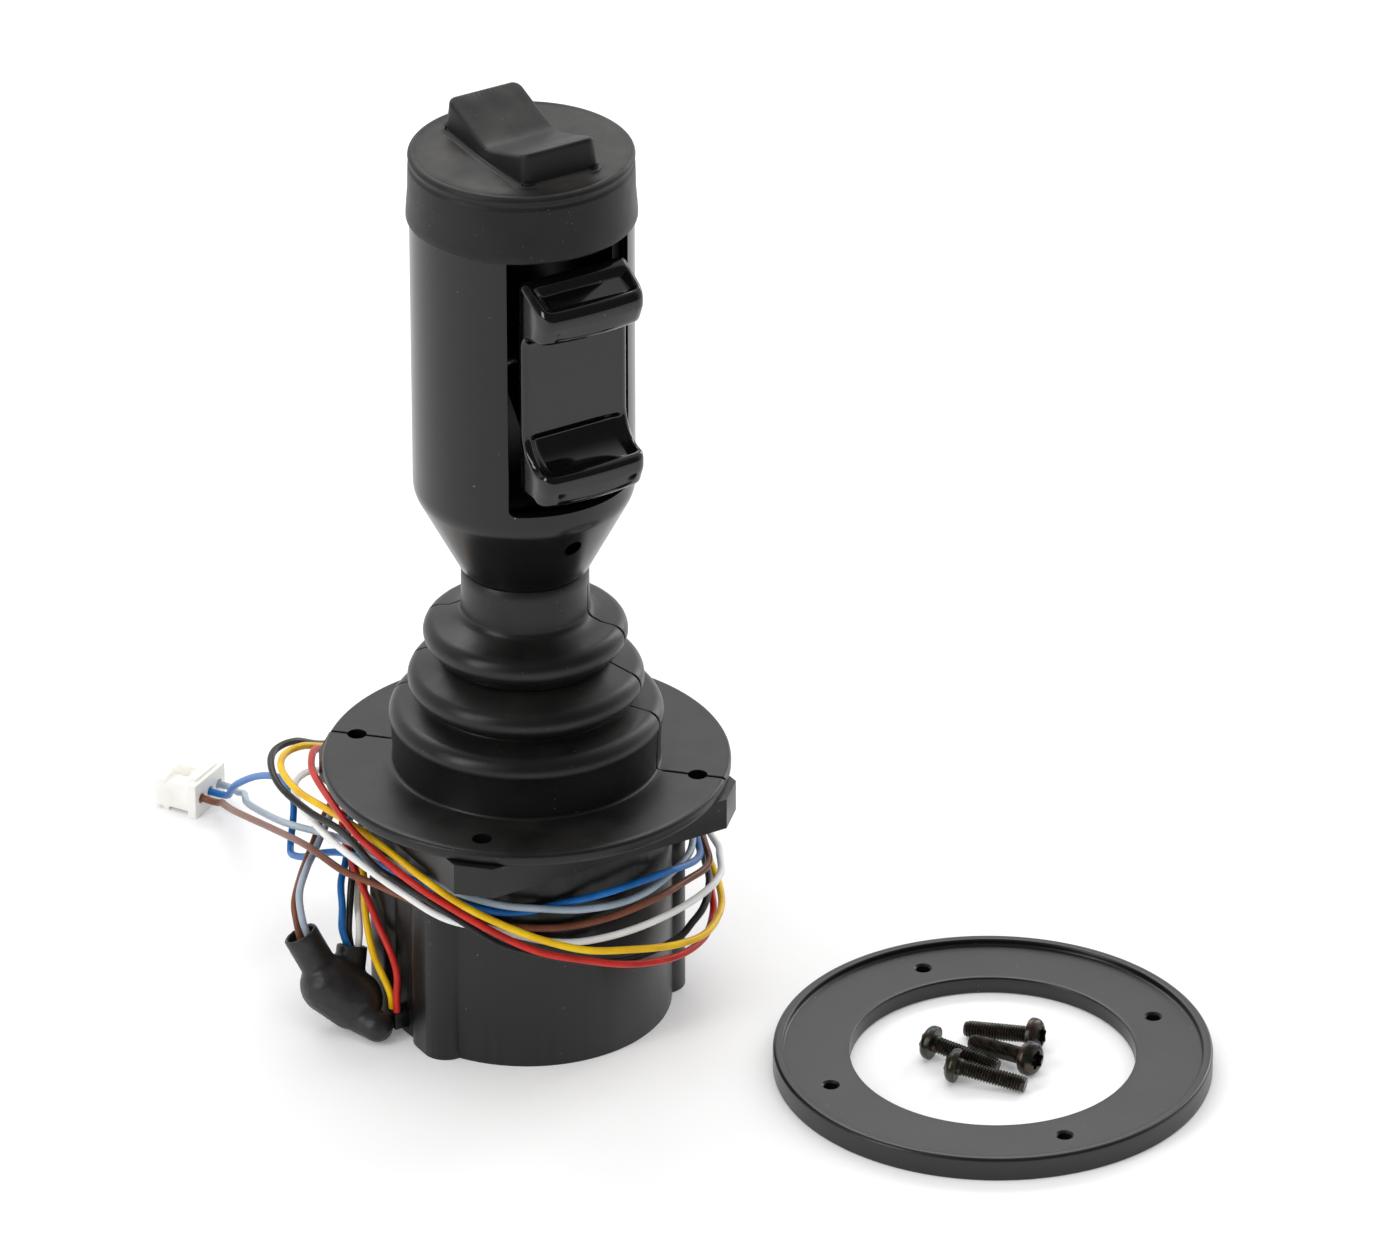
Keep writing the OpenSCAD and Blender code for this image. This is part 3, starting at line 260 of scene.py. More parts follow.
# Closes the first and the last ring of a prism
def closeSides(piece, rows, count):
    with editing(piece.data) as work:
        for first in (0, (rows - 1) * count):
            face = work.faces.new([work.verts[first + k] for k in range(count)])
            bmesh.ops.triangulate(work, faces=[face], ngon_method="EAR_CLIP")
        bmesh.ops.recalc_face_normals(work, faces=work.faces)


# sRGB hex to the linear colour that a node wants
def hexColour(text):
    values = [int(text[k:k + 2], 16) / 255 for k in (1, 3, 5)]
    return (*[v / 12.92 if v <= 0.04045 else ((v + 0.055) / 1.055) ** 2.4 for v in values], 1.0)


def grey(value):
    return (value, value, value, 1.0)


# Sets a node's inputs, each to a value, a socket, or a node whose first output is meant
def feed(tree, node, inputs):
    for key, value in inputs.items():
        socket = node.inputs[key]
        if isinstance(value, bpy.types.Node):
            value = value.outputs[0]
        if isinstance(value, bpy.types.NodeSocket):
            tree.links.new(value, socket)
        else:
            socket.default_value = value
    return node


# One node with its settings and its inputs
def addNode(tree, kind, inputs=None, **settings):
    node = tree.nodes.new(kind)
    for key, value in settings.items():
        setattr(node, key, value)
    return feed(tree, node, inputs or {})


# Noise whose grains are about a size in millimetres across
def noise(tree, place, size, detail):
    return addNode(tree, "ShaderNodeTexNoise", {"Vector": place, "Scale": 1000.0 / size, "Detail": detail})


# A colour ramp from dark at low to light at high
def ramp(tree, factor, low, high, dark, light):
    made = addNode(tree, "ShaderNodeValToRGB", {"Fac": factor})
    made.color_ramp.elements[0].position, made.color_ramp.elements[1].position = low, high
    made.color_ramp.elements[0].color, made.color_ramp.elements[1].color = dark, light
    return made


def combine(tree, operation, *values):
    return addNode(tree, "ShaderNodeMath", dict(enumerate(values)), operation=operation)


# One colour laid over another where the factor says
def laidOver(tree, factor, under, over):
    return addNode(tree, "ShaderNodeMix", {"Factor": factor, 6: under, 7: over}, data_type="RGBA").outputs[2]


# A bump of a depth in millimetres, on top of another one if given
def bump(tree, height, depth, below=None):
    inputs = {"Height": height, "Strength": 1.0, "Distance": depth * mm}
    if below:
        inputs["Normal"] = below
    return addNode(tree, "ShaderNodeBump", inputs)


def emptyTree(owner):
    owner.use_nodes = True
    owner.node_tree.nodes.clear()
    return owner.node_tree


def newMaterial(name):
    material = bpy.data.materials.new(name)
    tree = emptyTree(material)
    place = addNode(tree, "ShaderNodeTexCoord").outputs["Object"]
    shader = addNode(tree, "ShaderNodeBsdfPrincipled")
    addNode(tree, "ShaderNodeOutputMaterial", {"Surface": shader})
    return material, tree, place, shader


# A thin patchy film on faces that look up
def dusted(tree, place, colour, look):
    facing = addNode(tree, "ShaderNodeSeparateXYZ", {
        "Vector": addNode(tree, "ShaderNodeNewGeometry").outputs["Normal"]})
    lying = addNode(tree, "ShaderNodeMapRange", {
        "Value": facing.outputs["Z"], "From Min": 0.2, "From Max": 1.0})
    spread = ramp(tree, noise(tree, place, look["patch"], 2.0), 0.3, 0.8, grey(0), grey(look["dust"]))
    return laidOver(tree, combine(tree, "MULTIPLY", spread, lying), colour, hexColour(look["dustColour"]))


# Pale specks in some of the cells of a Voronoi pattern
def speckled(tree, place, colour, look):
    grit = addNode(tree, "ShaderNodeTexVoronoi", {
        "Vector": place, "Scale": 1000.0 / look["speckPitch"], "Randomness": 1.0})
    size = ramp(tree, grit.outputs["Distance"], look["specks"], look["specks"] + 0.04, grey(1), grey(0))
    pick = ramp(tree, grit.outputs["Color"], 0.6, 0.9, grey(0), grey(1))
    return laidOver(tree, combine(tree, "MULTIPLY", size, pick), colour, hexColour(look["speckColour"]))


# Zero on the mould's parting plane x + y = 0 and one a little way off it: the mask for the parting groove's
# bump and for the painted shade along it
def partingLine(tree, place, width):
    axes = addNode(tree, "ShaderNodeSeparateXYZ", {"Vector": place})
    away = combine(tree, "ABSOLUTE", combine(tree, "ADD", axes.outputs["X"], axes.outputs["Y"]))
    return addNode(tree, "ShaderNodeMapRange", {
        "Value": away, "From Min": 0.6 * width * mm, "From Max": 1.4 * width * mm})


# Moulded plastic or rubber: one pigment, slow sink marks, a fine spark-eroded grain, and dust, specks and a
# parting line where the look has them. The parting line's groove is a real bump, and painted shade darkens
# it to a near-black line
def mouldedPlastic(name, look):
    material, tree, place, shader = newMaterial(name)
    colour = ramp(tree, noise(tree, place, look["cloud"], 3.0), 0.35, 0.68,
                  hexColour(look["dark"]), hexColour(look["light"]))
    relief = bump(tree, noise(tree, place, look["sink"], 1.0), look["sinkDepth"])
    if look.get("dust"):
        colour = dusted(tree, place, colour, look)
    if look.get("specks"):
        colour = speckled(tree, place, colour, look)
    if look.get("seam"):
        seam = partingLine(tree, place, look["seam"])
        # painted shade: the parting line's groove is coloured near-black, standing in for the shade that
        # falls in it
        colour = laidOver(tree, seam, hexColour("#050505"), colour)
        relief = bump(tree, seam, 0.3, relief)
    rough, spread = look["rough"], look["roughSpread"]
    wear = noise(tree, place, look["cloud"] * 0.4, 4.0)
    feed(tree, shader, {
        "Base Color": colour,
        "Roughness": ramp(tree, wear, 0.3, 0.7, grey(rough - spread), grey(rough + spread)),
        "IOR": look["ior"],
        "Specular IOR Level": look.get("specular", 0.5),
        "Normal": bump(tree, noise(tree, place, look["grain"], 2.0), look["grainDepth"], relief)})
    return material


# Metal seen by its reflections: a base tint, with fine marks in its roughness and bump
def metalFinish(name, look):
    material, tree, place, shader = newMaterial(name)
    stretch = addNode(tree, "ShaderNodeMapping", {"Vector": place, "Scale": look.get("stretch", (1, 1, 1))})
    cloud = noise(tree, stretch, look["cloud"], 4.0)
    feed(tree, shader, {
        "Base Color": ramp(tree, cloud, 0.3, 0.7, hexColour(look["dark"]), hexColour(look["light"])),
        "Roughness": ramp(tree, cloud, 0.3, 0.7, grey(look["rough"] + 0.06), grey(look["rough"] - 0.04)),
        "Metallic": look["metallic"],
        "Normal": bump(tree, noise(tree, stretch, look["grain"], 3.0), look["grainDepth"])})
    return material


materials = {}
# Glass-filled nylon, moulded in a spark-eroded tool: dull black with a broad soft sheen
materials["black_nylon"] = mouldedPlastic("glassFilledNylon", {
    "dark": "#0d0d0d", "light": "#101010", "cloud": 25, "rough": 0.36, "roughSpread": 0.025, "ior": 1.45,
    "grain": 0.35, "grainDepth": 0.01, "sink": 16, "sinkDepth": 0.05,
    "dust": 0.03, "patch": 20, "dustColour": "#8d8a86",
    "specks": 0.04, "speckPitch": 2.6, "speckColour": "#83807b"})
# Glass-filled nylon from a finer tool: a smoother face, which reflects the room as soft upright bands
materials["grip"] = mouldedPlastic("satinGripNylon", {
    "dark": "#0a0a0a", "light": "#0d0d0d", "cloud": 40, "rough": 0.24, "roughSpread": 0.015, "ior": 1.44,
    "grain": 0.5, "grainDepth": 0.003, "sink": 24, "sinkDepth": 0.04,
    "specks": 0.035, "speckPitch": 3.4, "speckColour": "#77746f"})
# Moulded neoprene boot: matt, a little dust in its folds
materials["black_rubber"] = mouldedPlastic("mouldedNeoprene", {
    "dark": "#0b0b0b", "light": "#0f0f0f", "cloud": 16, "rough": 0.37, "roughSpread": 0.04, "ior": 1.48,
    "specular": 0.42, "grain": 0.5, "grainDepth": 0.012, "sink": 9, "sinkDepth": 0.07, "seam": 0.3,
    "dust": 0.08, "patch": 12, "dustColour": "#77736d",
    "specks": 0.055, "speckPitch": 1.2, "speckColour": "#7d7972"})
# The cap's softer rubber is matt and holds more dust, so it is the greyest of the blacks
materials["capRubber"] = mouldedPlastic("mattCapRubber", {
    "dark": "#0f0f0f", "light": "#151515", "cloud": 14, "rough": 0.46, "roughSpread": 0.04, "ior": 1.46,
    "specular": 0.33, "grain": 0.4, "grainDepth": 0.015, "sink": 9, "sinkDepth": 0.06,
    "dust": 0.15, "patch": 10, "dustColour": "#85817c",
    "specks": 0.06, "speckPitch": 1.0, "speckColour": "#8b8781"})
# Polished ABS: a near mirror over deep black
materials["gloss_black"] = mouldedPlastic("polishedAbs", {
    "dark": "#070707", "light": "#090909", "cloud": 40, "rough": 0.08, "roughSpread": 0.01, "ior": 1.52,
    "grain": 3, "grainDepth": 0.001, "sink": 14, "sinkDepth": 0.03,
    "specks": 0.03, "speckPitch": 3.6, "speckColour": "#7b7873"})
# Sensor and switch cases: plain moulded thermoset
materials["sensor_black"] = mouldedPlastic("mouldedThermoset", {
    "dark": "#141414", "light": "#191919", "cloud": 6, "rough": 0.45, "roughSpread": 0.05, "ior": 1.5,
    "grain": 0.3, "grainDepth": 0.01, "sink": 6, "sinkDepth": 0.03})
# Heat-shrunk polyolefin: matt, with the soft wrinkles that shrinking leaves
materials["sleeve_black"] = mouldedPlastic("shrunkPolyolefin", {
    "dark": "#1c1b1b", "light": "#252424", "cloud": 5, "rough": 0.42, "roughSpread": 0.06, "ior": 1.48,
    "grain": 0.9, "grainDepth": 0.03, "sink": 3.5, "sinkDepth": 0.3,
    "dust": 0.04, "patch": 5, "dustColour": "#6f6c68"})
# Black anodised aluminium, bead blasted: an even fine sparkle, paler than plastic where it faces the light
materials["anodised_black"] = mouldedPlastic("anodisedAluminium", {
    "dark": "#0e0e10", "light": "#131315", "cloud": 20, "rough": 0.33, "roughSpread": 0.03, "ior": 1.53,
    "grain": 0.3, "grainDepth": 0.01, "sink": 24, "sinkDepth": 0.01,
    "dust": 0.02, "patch": 12, "dustColour": "#9a9792",
    "specks": 0.05, "speckPitch": 2.0, "speckColour": "#8f8c87"})
# Black enamel on steel: semi-matt with slight orange peel
materials["painted_black"] = mouldedPlastic("blackEnamel", {
    "dark": "#131313", "light": "#171717", "cloud": 20, "rough": 0.34, "roughSpread": 0.04, "ior": 1.5,
    "grain": 1.2, "grainDepth": 0.02, "sink": 12, "sinkDepth": 0.04})
# FR-4 board under green solder mask: glossy over a woven base
materials["board_green"] = mouldedPlastic("solderMask", {
    "dark": "#12472a", "light": "#185733", "cloud": 1.4, "rough": 0.28, "roughSpread": 0.05, "ior": 1.5,
    "grain": 0.8, "grainDepth": 0.02, "sink": 10, "sinkDepth": 0.02})
# Black oxide on steel: dark brown-grey metal with a soft shine
materials["black_oxide_steel"] = metalFinish("blackOxideSteel", {
    "dark": "#3c3a37", "light": "#5a5752", "cloud": 3, "rough": 0.36, "metallic": 1.0,
    "grain": 0.25, "grainDepth": 0.01})
# Bright zinc plate on steel: pale, slightly cloudy
materials["zinc_steel"] = metalFinish("zincPlatedSteel", {
    "dark": "#b9bbbd", "light": "#d3d4d5", "cloud": 2, "rough": 0.28, "metallic": 1.0,
    "grain": 0.3, "grainDepth": 0.006})
# Drawn spring wire: bright and smooth
materials["spring_steel"] = metalFinish("brightSpringWire", {
    "dark": "#a7a8aa", "light": "#c8c9cb", "cloud": 1, "rough": 0.22, "metallic": 1.0,
    "grain": 0.2, "grainDepth": 0.004})
# Machined zinc alloy: satin, with fine tool marks that run across Z
materials["cast_alloy"] = metalFinish("machinedZincAlloy", {
    "dark": "#a3a5a8", "light": "#bfc1c3", "cloud": 2, "rough": 0.38, "metallic": 1.0, "grain": 0.25,
    "grainDepth": 0.012, "stretch": (1, 1, 6)})
# Sintered bronze: a matt, porous brown metal
materials["bronze"] = metalFinish("sinteredBronze", {
    "dark": "#9a6f3f", "light": "#b98a55", "cloud": 0.8, "rough": 0.45, "metallic": 1.0,
    "grain": 0.2, "grainDepth": 0.02})


# Natural nylon 66, moulded: milky white, light goes a little way in, faint flow marks
def naturalNylon():
    material, tree, place, shader = newMaterial("naturalNylon")
    feed(tree, shader, {
        "Base Color": ramp(tree, noise(tree, place, 4, 3.0), 0.3, 0.7,
                           hexColour("#eeede6"), hexColour("#f7f6f1")),
        "Roughness": 0.38,
        "IOR": 1.53,
        "Subsurface Weight": 0.35,
        "Subsurface Radius": (1.0, 0.95, 0.85),
        "Subsurface Scale": 0.0012,
        "Normal": bump(tree, noise(tree, place, 0.8, 2.0), 0.02)})
    return material


# Black zinc plating: near-black steel under a thin film that tints its lit edges a little
def blackZinc():
    material, tree, place, shader = newMaterial("blackZincPlate")
    patch = noise(tree, place, 2.2, 2.0)
    feed(tree, shader, {
        "Base Color": ramp(tree, patch, 0.3, 0.7, hexColour("#332f2b"), hexColour("#4c463e")),
        "Metallic": 0.85,
        "Thin Film Thickness": addNode(tree, "ShaderNodeMapRange", {
            "Value": patch, "From Min": 0.25, "From Max": 0.75, "To Min": 260.0, "To Max": 520.0}),
        "Thin Film IOR": 1.9,
        "Roughness": ramp(tree, patch, 0.3, 0.7, grey(0.26), grey(0.36)),
        "Normal": bump(tree, noise(tree, place, 0.3, 2.0), 0.01)})
    return material


# Extruded PVC over stranded wire: smooth, slightly waxy and faintly uneven
def wireJacket(name, dark, light):
    material, tree, place, shader = newMaterial(name)
    smear = noise(tree, place, 6, 4.0)
    feed(tree, shader, {
        "Base Color": ramp(tree, smear, 0.35, 0.65, hexColour(dark), hexColour(light)),
        "Roughness": ramp(tree, smear, 0.3, 0.7, grey(0.3), grey(0.4)),
        "IOR": 1.4,
        "Normal": bump(tree, noise(tree, place, 1.1, 1.0), 0.06)})
    return material


materials["white_nylon"] = naturalNylon()
materials["blackZinc"] = blackZinc()
for colour, dark, light in (("yellow", "#e2ac00", "#f3c80a"), ("red", "#b6231c", "#d22e24"),
                            ("black", "#191919", "#212121"), ("white", "#ebebe8", "#f6f6f3"),
                            ("brown", "#6b3c27", "#804a32"), ("grey", "#93a2b0", "#a9b7c3"),
                            ("blue", "#0a5ea6", "#1672c0")):
    materials["jacket_" + colour] = wireJacket(colour + "Pvc", dark, light)
print("materials made:", len(materials))


def setMaterial(piece, material):
    piece.data.materials.clear()
    piece.data.materials.append(material)


# Gives a new piece its material and its body, and hides the CAD node that it stands for
def dress(piece, material, body, node=None):
    setMaterial(piece, materials[material])
    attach(piece, body)
    if node:
        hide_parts(node)
    return piece


# The leads: the same points as in part.scad, in the same smooth curve
wire = {"diameter": 1.7, "stiffness": "limp", "threeWay": ("brown", "grey", "blue")}
routes = {
    "yellow": [
        (-35.5, 1, 6.5), (-36, 1.5, 11), (-37.5, 6, 19), (-36.5, 11, 26.5), (-34, 16, 32.5), (-30, 23, 37.5),
        (-17.5, 35, 40.5), (5, 40, 40), (24, 33.5, 37.5), (39.5, 17.5, 34), (44.5, 0, 31), (41, -13, 29),
        (38.5, -21, 27.5), (34, -29, 26.5), (25.5, -36.5, 26.5), (15, -40.5, 28.5), (2.5, -41.5, 31.5),
        (-8.5, -40, 34), (-18.5, -36, 38), (-27.5, -31, 43), (-33.5, -26, 47), (-38.5, -20.5, 51.5),
        (-39, -5.5, 51.5), (-40.5, 8.5, 52), (-41.5, 19.5, 51.5), (-42.5, 30.5, 51), (-41, 41, 51),
        (-36.5, 48, 50.5), (-30, 51, 49.5), (-22, 53.5, 46), (-8.5, 55.5, 43), (4, 58.5, 31),
        (15.5, 58.5, 17), (20.5, 57.5, 10), (24.5, 56.5, 6), (28, 54.5, 4.5), (31.5, 52.5, 4.5)],
    "red": [
        (-35.5, -1, 6.5), (-35.5, -1, 11), (-35, -0.5, 15.5), (-35.5, 1, 20.5), (-36, 6, 26),
        (-36.5, 11.5, 32.5), (-36.5, 17, 37.5), (-33.5, 26, 44), (-17.5, 38, 46.5), (4, 42.5, 42.5),
        (26.5, 35.5, 37), (41.5, 19, 30.5), (45, -1.5, 27), (38, -18.5, 24.5), (34.5, -24.5, 22),
        (27.5, -31.5, 21.5), (17, -37, 23), (4, -39, 26), (-7.5, -38, 30), (-17.5, -34.5, 33.5),
        (-26.5, -29.5, 39), (-34.5, -23, 45), (-39.5, -16.5, 49), (-41.5, -4.5, 51), (-43, 4.5, 53.5),
        (-41.5, 17, 54.5), (-38, 31.5, 54), (-34.5, 38.5, 54), (-31, 42.5, 53), (-25, 45.5, 50),
        (-13, 50, 45), (-1.5, 53.5, 35), (11.5, 54, 21), (17.5, 53.5, 12), (22.5, 52.5, 6.5), (26, 51, 4.5),
        (29.5, 49, 4.5)],
    "black": [
        (-38, 15.5, 16), (-38.5, 15.5, 20.5), (-37.5, 16.5, 26.5), (-35.5, 19, 31.5), (-30, 26.5, 37.5),
        (-16.5, 37.5, 37.5), (4, 39.5, 36), (23, 32, 33), (37, 18, 31), (42, -2, 31.5), (37, -18, 31),
        (33.5, -24.5, 30), (29.5, -29, 28.5), (25, -31.5, 27), (19, -34, 25.5), (5.5, -36.5, 25.5),
        (-7.5, -36, 28.5), (-15, -33.5, 31), (-24.5, -29.5, 35), (-32.5, -24, 41.5), (-38.5, -14.5, 46),
        (-43, -6, 49), (-41.5, 12, 49), (-42, 26.5, 47.5), (-42.5, 38.5, 48), (-40.5, 47, 49),
        (-36.5, 52.5, 49.5), (-29.5, 55.5, 48.5), (-19.5, 58.5, 43.5), (-5.5, 60.5, 42), (7, 63, 29),
        (18, 62.5, 15), (24, 61, 8.5), (30, 58, 4.5), (33.5, 56, 4.5)],
    "white": [
        (-37.5, 13, 16.5), (-36.5, 14, 21.5), (-35, 17.5, 26), (-33.5, 19.5, 30.5), (-28, 26.5, 33.5),
        (-15, 35.5, 34.5), (4, 37.5, 33.5), (22, 30.5, 31), (35, 16.5, 33), (42.5, -2, 35.5), (39.5, -18, 37),
        (36.5, -24.5, 37.5), (33, -30.5, 37), (26.5, -35.5, 37), (18, -35.5, 34), (5, -37, 33.5),
        (-6, -35, 33), (-14, -32, 34), (-23.5, -28, 37.5), (-33.5, -20.5, 40), (-39.5, -11, 44),
        (-42, 1, 45.5), (-43, 13.5, 46), (-41, 27, 44.5), (-38.5, 38.5, 43.5), (-35.5, 45, 44),
        (-30.5, 49, 43.5), (-23.5, 52, 41), (-5, 57, 35), (7.5, 62, 20), (20, 65, 9), (26.5, 64, 5.5),
        (32, 61.5, 4.5), (35.5, 59.5, 4.5)],
    "brown": [
        (-51, 15.5, 21.5), (-51, 17, 25), (-50, 20, 29), (-46, 24.5, 32), (-41, 29.5, 34), (-31.5, 35.5, 42),
        (-18.5, 42, 45), (1.5, 42, 46.5), (22.5, 33.5, 44.5), (37.5, 17, 41), (41.5, -2, 38.5),
        (36.5, -18, 37.5), (33, -25, 36.5), (24.5, -30, 37.5), (11.5, -36, 39), (0, -35.5, 37.5),
        (-10.5, -33, 37), (-19.5, -28.5, 37.5), (-24.5, -24.5, 38), (-31, -20, 39.5), (-36.5, -12, 41),
        (-39, 0.5, 40), (-42.5, 10.5, 40), (-43, 26, 39), (-37.5, 53, 29), (-31.5, 81, 18), (-25.5, 98, 10),
        (-22.5, 104.5, 6.5), (-22, 108.5, 4.5), (-24, 112.5, 4.5)],
    "grey": [
        (-49.5, 14.5, 22.5), (-50.5, 15.5, 27), (-49.5, 18.5, 32), (-45.5, 22.5, 35), (-40, 28, 36),
        (-30, 33.5, 44.5), (-17, 39, 49), (1, 40, 50), (22.5, 31.5, 49.5), (34.5, 17.5, 47), (39, -1.5, 44.5),
        (31, -21.5, 41), (16.5, -33.5, 42), (6, -35.5, 40.5), (-6.5, -36, 42), (-16.5, -32.5, 43.5),
        (-24, -28, 44.5), (-31.5, -22, 47), (-37.5, -15, 50), (-40, 0, 48.5), (-40.5, 12, 46.5),
        (-40, 25.5, 42), (-37.5, 43.5, 34.5), (-31.5, 63.5, 25), (-25.5, 86, 16), (-19, 100, 10),
        (-16, 108.5, 5.5), (-15.5, 113, 4.5), (-17.5, 116.5, 4.5)],
    "blue": [
        (-39.5, 14, 17), (-40.5, 15, 22), (-39.5, 16.5, 26.5), (-37.5, 20.5, 30.5), (-33.5, 25, 33.5),
        (-28, 31, 43), (-16.5, 35.5, 45.5), (3, 37.5, 46.5), (22, 30, 46), (35, 17, 43), (40, -2, 41),
        (34.5, -18, 39), (28.5, -27.5, 40.5), (14.5, -36.5, 45.5), (-1, -37.5, 45.5), (-10, -33.5, 43.5),
        (-20, -28.5, 41.5), (-28.5, -23, 43), (-33, -17.5, 45.5), (-37.5, -9.5, 47), (-37.5, 6.5, 43),
        (-38, 19.5, 39), (-38.5, 29.5, 34), (-38.5, 36, 30), (-38, 41.5, 27.5), (-37, 45, 26.5),
        (-35.5, 47.5, 28), (-34, 49, 32), (-33, 50.5, 36.5), (-32.5, 54.5, 39), (-31.5, 62.5, 36.5),
        (-28.5, 77, 28.5), (-25, 92.5, 18), (-21.5, 102, 10.5), (-19.5, 107, 6.5), (-19, 111, 4.5),
        (-21, 114.5, 4.5)],
}


# An open poly curve through the smooth curve's points, with the wire's round section
def addWire(colour, points):
    name = "wire" + colour.capitalize()
    path, length = evenCurve(points, 0.8)
    curve = bpy.data.curves.new(name, "CURVE")
    curve.dimensions = "3D"
    curve.bevel_depth = wire["diameter"] / 2 * mm
    curve.bevel_resolution = 3
    curve.use_fill_caps = True
    spline = curve.splines.new("POLY")
    spline.points.add(len(path) - 1)
    spline.points.foreach_set("co", np.column_stack([path * mm, np.ones(len(path))]).ravel())
    spline.use_smooth = True
    jacket = "jacket_" + colour
    return dress(linked(name, curve), jacket, "base", "wire_" + colour), length * mm


# A crimp housing's cuts, each an outline of (length, height) and its span across, from the wires' end
connectorLook = {
    "channel": ([(3.4, 11), (5.0, 6.9), (13, 6.3), (13, 11)], (-2.5, 0.3)),
    "nearLobe": ([(3.2, 11), (3.2, 8.3), (13, 8.3), (13, 11)], (-20, -2.5)),
    "notch": ([(7.4, 11), (7.4, 8.4), (8.4, 7.1), (9.4, 8.4), (9.4, 11)], (-20, -2.5)),
    "mouthRound": ([(9.6, 11), (9.6, 9.7), (10.9, 9.1), (11.7, 8.1), (12.05, 6.6), (13, 6.6), (13, 11)],
                   (-20, 20)),
    "belly": ([(2.6, -1), (2.6, 1.1), (8.0, 1.1), (8.0, -1)], (-20, 20)),
    "chin": ([(9.6, -1), (9.6, 0.8), (13, 0.8), (13, -1)], (-20, 20)),
}


# The CAD's block with its cuts, under an even skin eased to the soft edges of a moulding
def addConnector(name, node, place, turn):
    housing = mergedCopy(node, name)
    stand = (Matrix.Translation((place[0] * mm, place[1] * mm, 0))
             @ Matrix.Rotation(math.radians(turn + 90), 4, "Z"))
    for cutName, (outline, span) in connectorLook.items():
        tool = addPrism("cut" + cutName, np.array(outline, float), (-span[1], -span[0]))
        tool.data.transform(stand)
        cutBy(housing, tool)
    return dress(reskinned(housing, 0.16, 5), "white_nylon", "base", node)


threeWay = addConnector("threeWayConnector", "connector_three_way", (-20.5, 114), 30)
fourWay = addConnector("fourWayConnector", "connector_four_way", (32, 54.5), -120)
for colour, points in routes.items():
    piece, length = addWire(colour, points)
print("wires laid:", len(routes))


# A bellows in two halves, the lower with the flange and the upper with the neck
boot = {
    "foot": 60.0, "flange": 46.5, "flangeTop": 3.0, "flangeEdge": 0.9, "wall": 30.5, "fillet": 0.7,
    "skin": 1.6, "neck": 14.5, "neckTop": 52.3, "foldEdge": 3.5,
    "fold": [(27.75, 14.5), (23.35, 23.9), (19.7, 35.6)],
    "valley": [22.75, 18.75], "holeRadius": 2.25, "holeAt": 28.28, "groove": 0.5,
}


# The boot's side from flange to neck: an arc over each fold and a round valley between; inset gives the inner
# face at that depth
def bootSide(inset):
    e = boot["foldEdge"] - inset
    (r0, h0), (r1, h1), (r2, h2) = boot["fold"]
    v0, v1 = boot["valley"][0] - inset, boot["valley"][1] - inset
    m0, m1 = (h0 + h1) / 2, (h1 + h2) / 2
    neck, top = boot["neck"], boot["neckTop"]
    lower = [arcPoints((r0, h0), e, -28, 80, 12),
             roundPath([(v0 + 1.5, m0 - 0.6), (v0, m0 + 0.1), (v0 + 1.5, m0 + 1)], [0.7], 5),
             arcPoints((r1, h1), e, -80, 76, 14),
             [(v1 + 1.5, m1 - 0.6), (v1 + 0.35, m1 - 0.05)]]
    upper = [[(v1 + 0.35, m1 + 0.15), (v1 + 1.5, m1 + 1)],
             arcPoints((r2, h2), e, -80, 76, 14),
             roundPath([(neck + 3.4 - inset, top - 12.9), (neck + 0.1 - inset, top - 11.3),
                        (neck - inset, top - 3)], [1.4], 7)]
    return np.vstack(lower), np.vstack(upper)


# The mould's parting line: the radius on the side, and the height on the flange, fall by a narrow bell curve
# of the distance from the plane x + y = 0
def partingGroove(r, h, a):
    bell = boot["groove"] * np.exp(-(r * np.sin(a + math.pi / 4) / 0.26) ** 2)
    onFlange = (h > boot["foot"] + 2.5) & (h < boot["foot"] + 3.3) & (r > boot["wall"] + 1.2)
    onSide = (h > boot["foot"] + 3.2) & (h < boot["foot"] + boot["neckTop"] - 4)
    return r - bell * onSide, h - bell * onFlange


# Even steps round the boot, with extra ones close to the parting plane
def bootAngles():
    near = np.radians([-2.2, -1.5, -1.0, -0.7, -0.45, -0.2, 0, 0.2, 0.45, 0.7, 1.0, 1.5, 2.2])
    even = fullTurn(144)
    planes = np.concatenate([near - math.pi / 4, near + 3 * math.pi / 4]) % (2 * math.pi)
    clear = np.abs((even + math.pi / 4 + math.pi / 2) % math.pi - math.pi / 2) > math.radians(3)
    return np.sort(np.concatenate([even[clear], planes]))


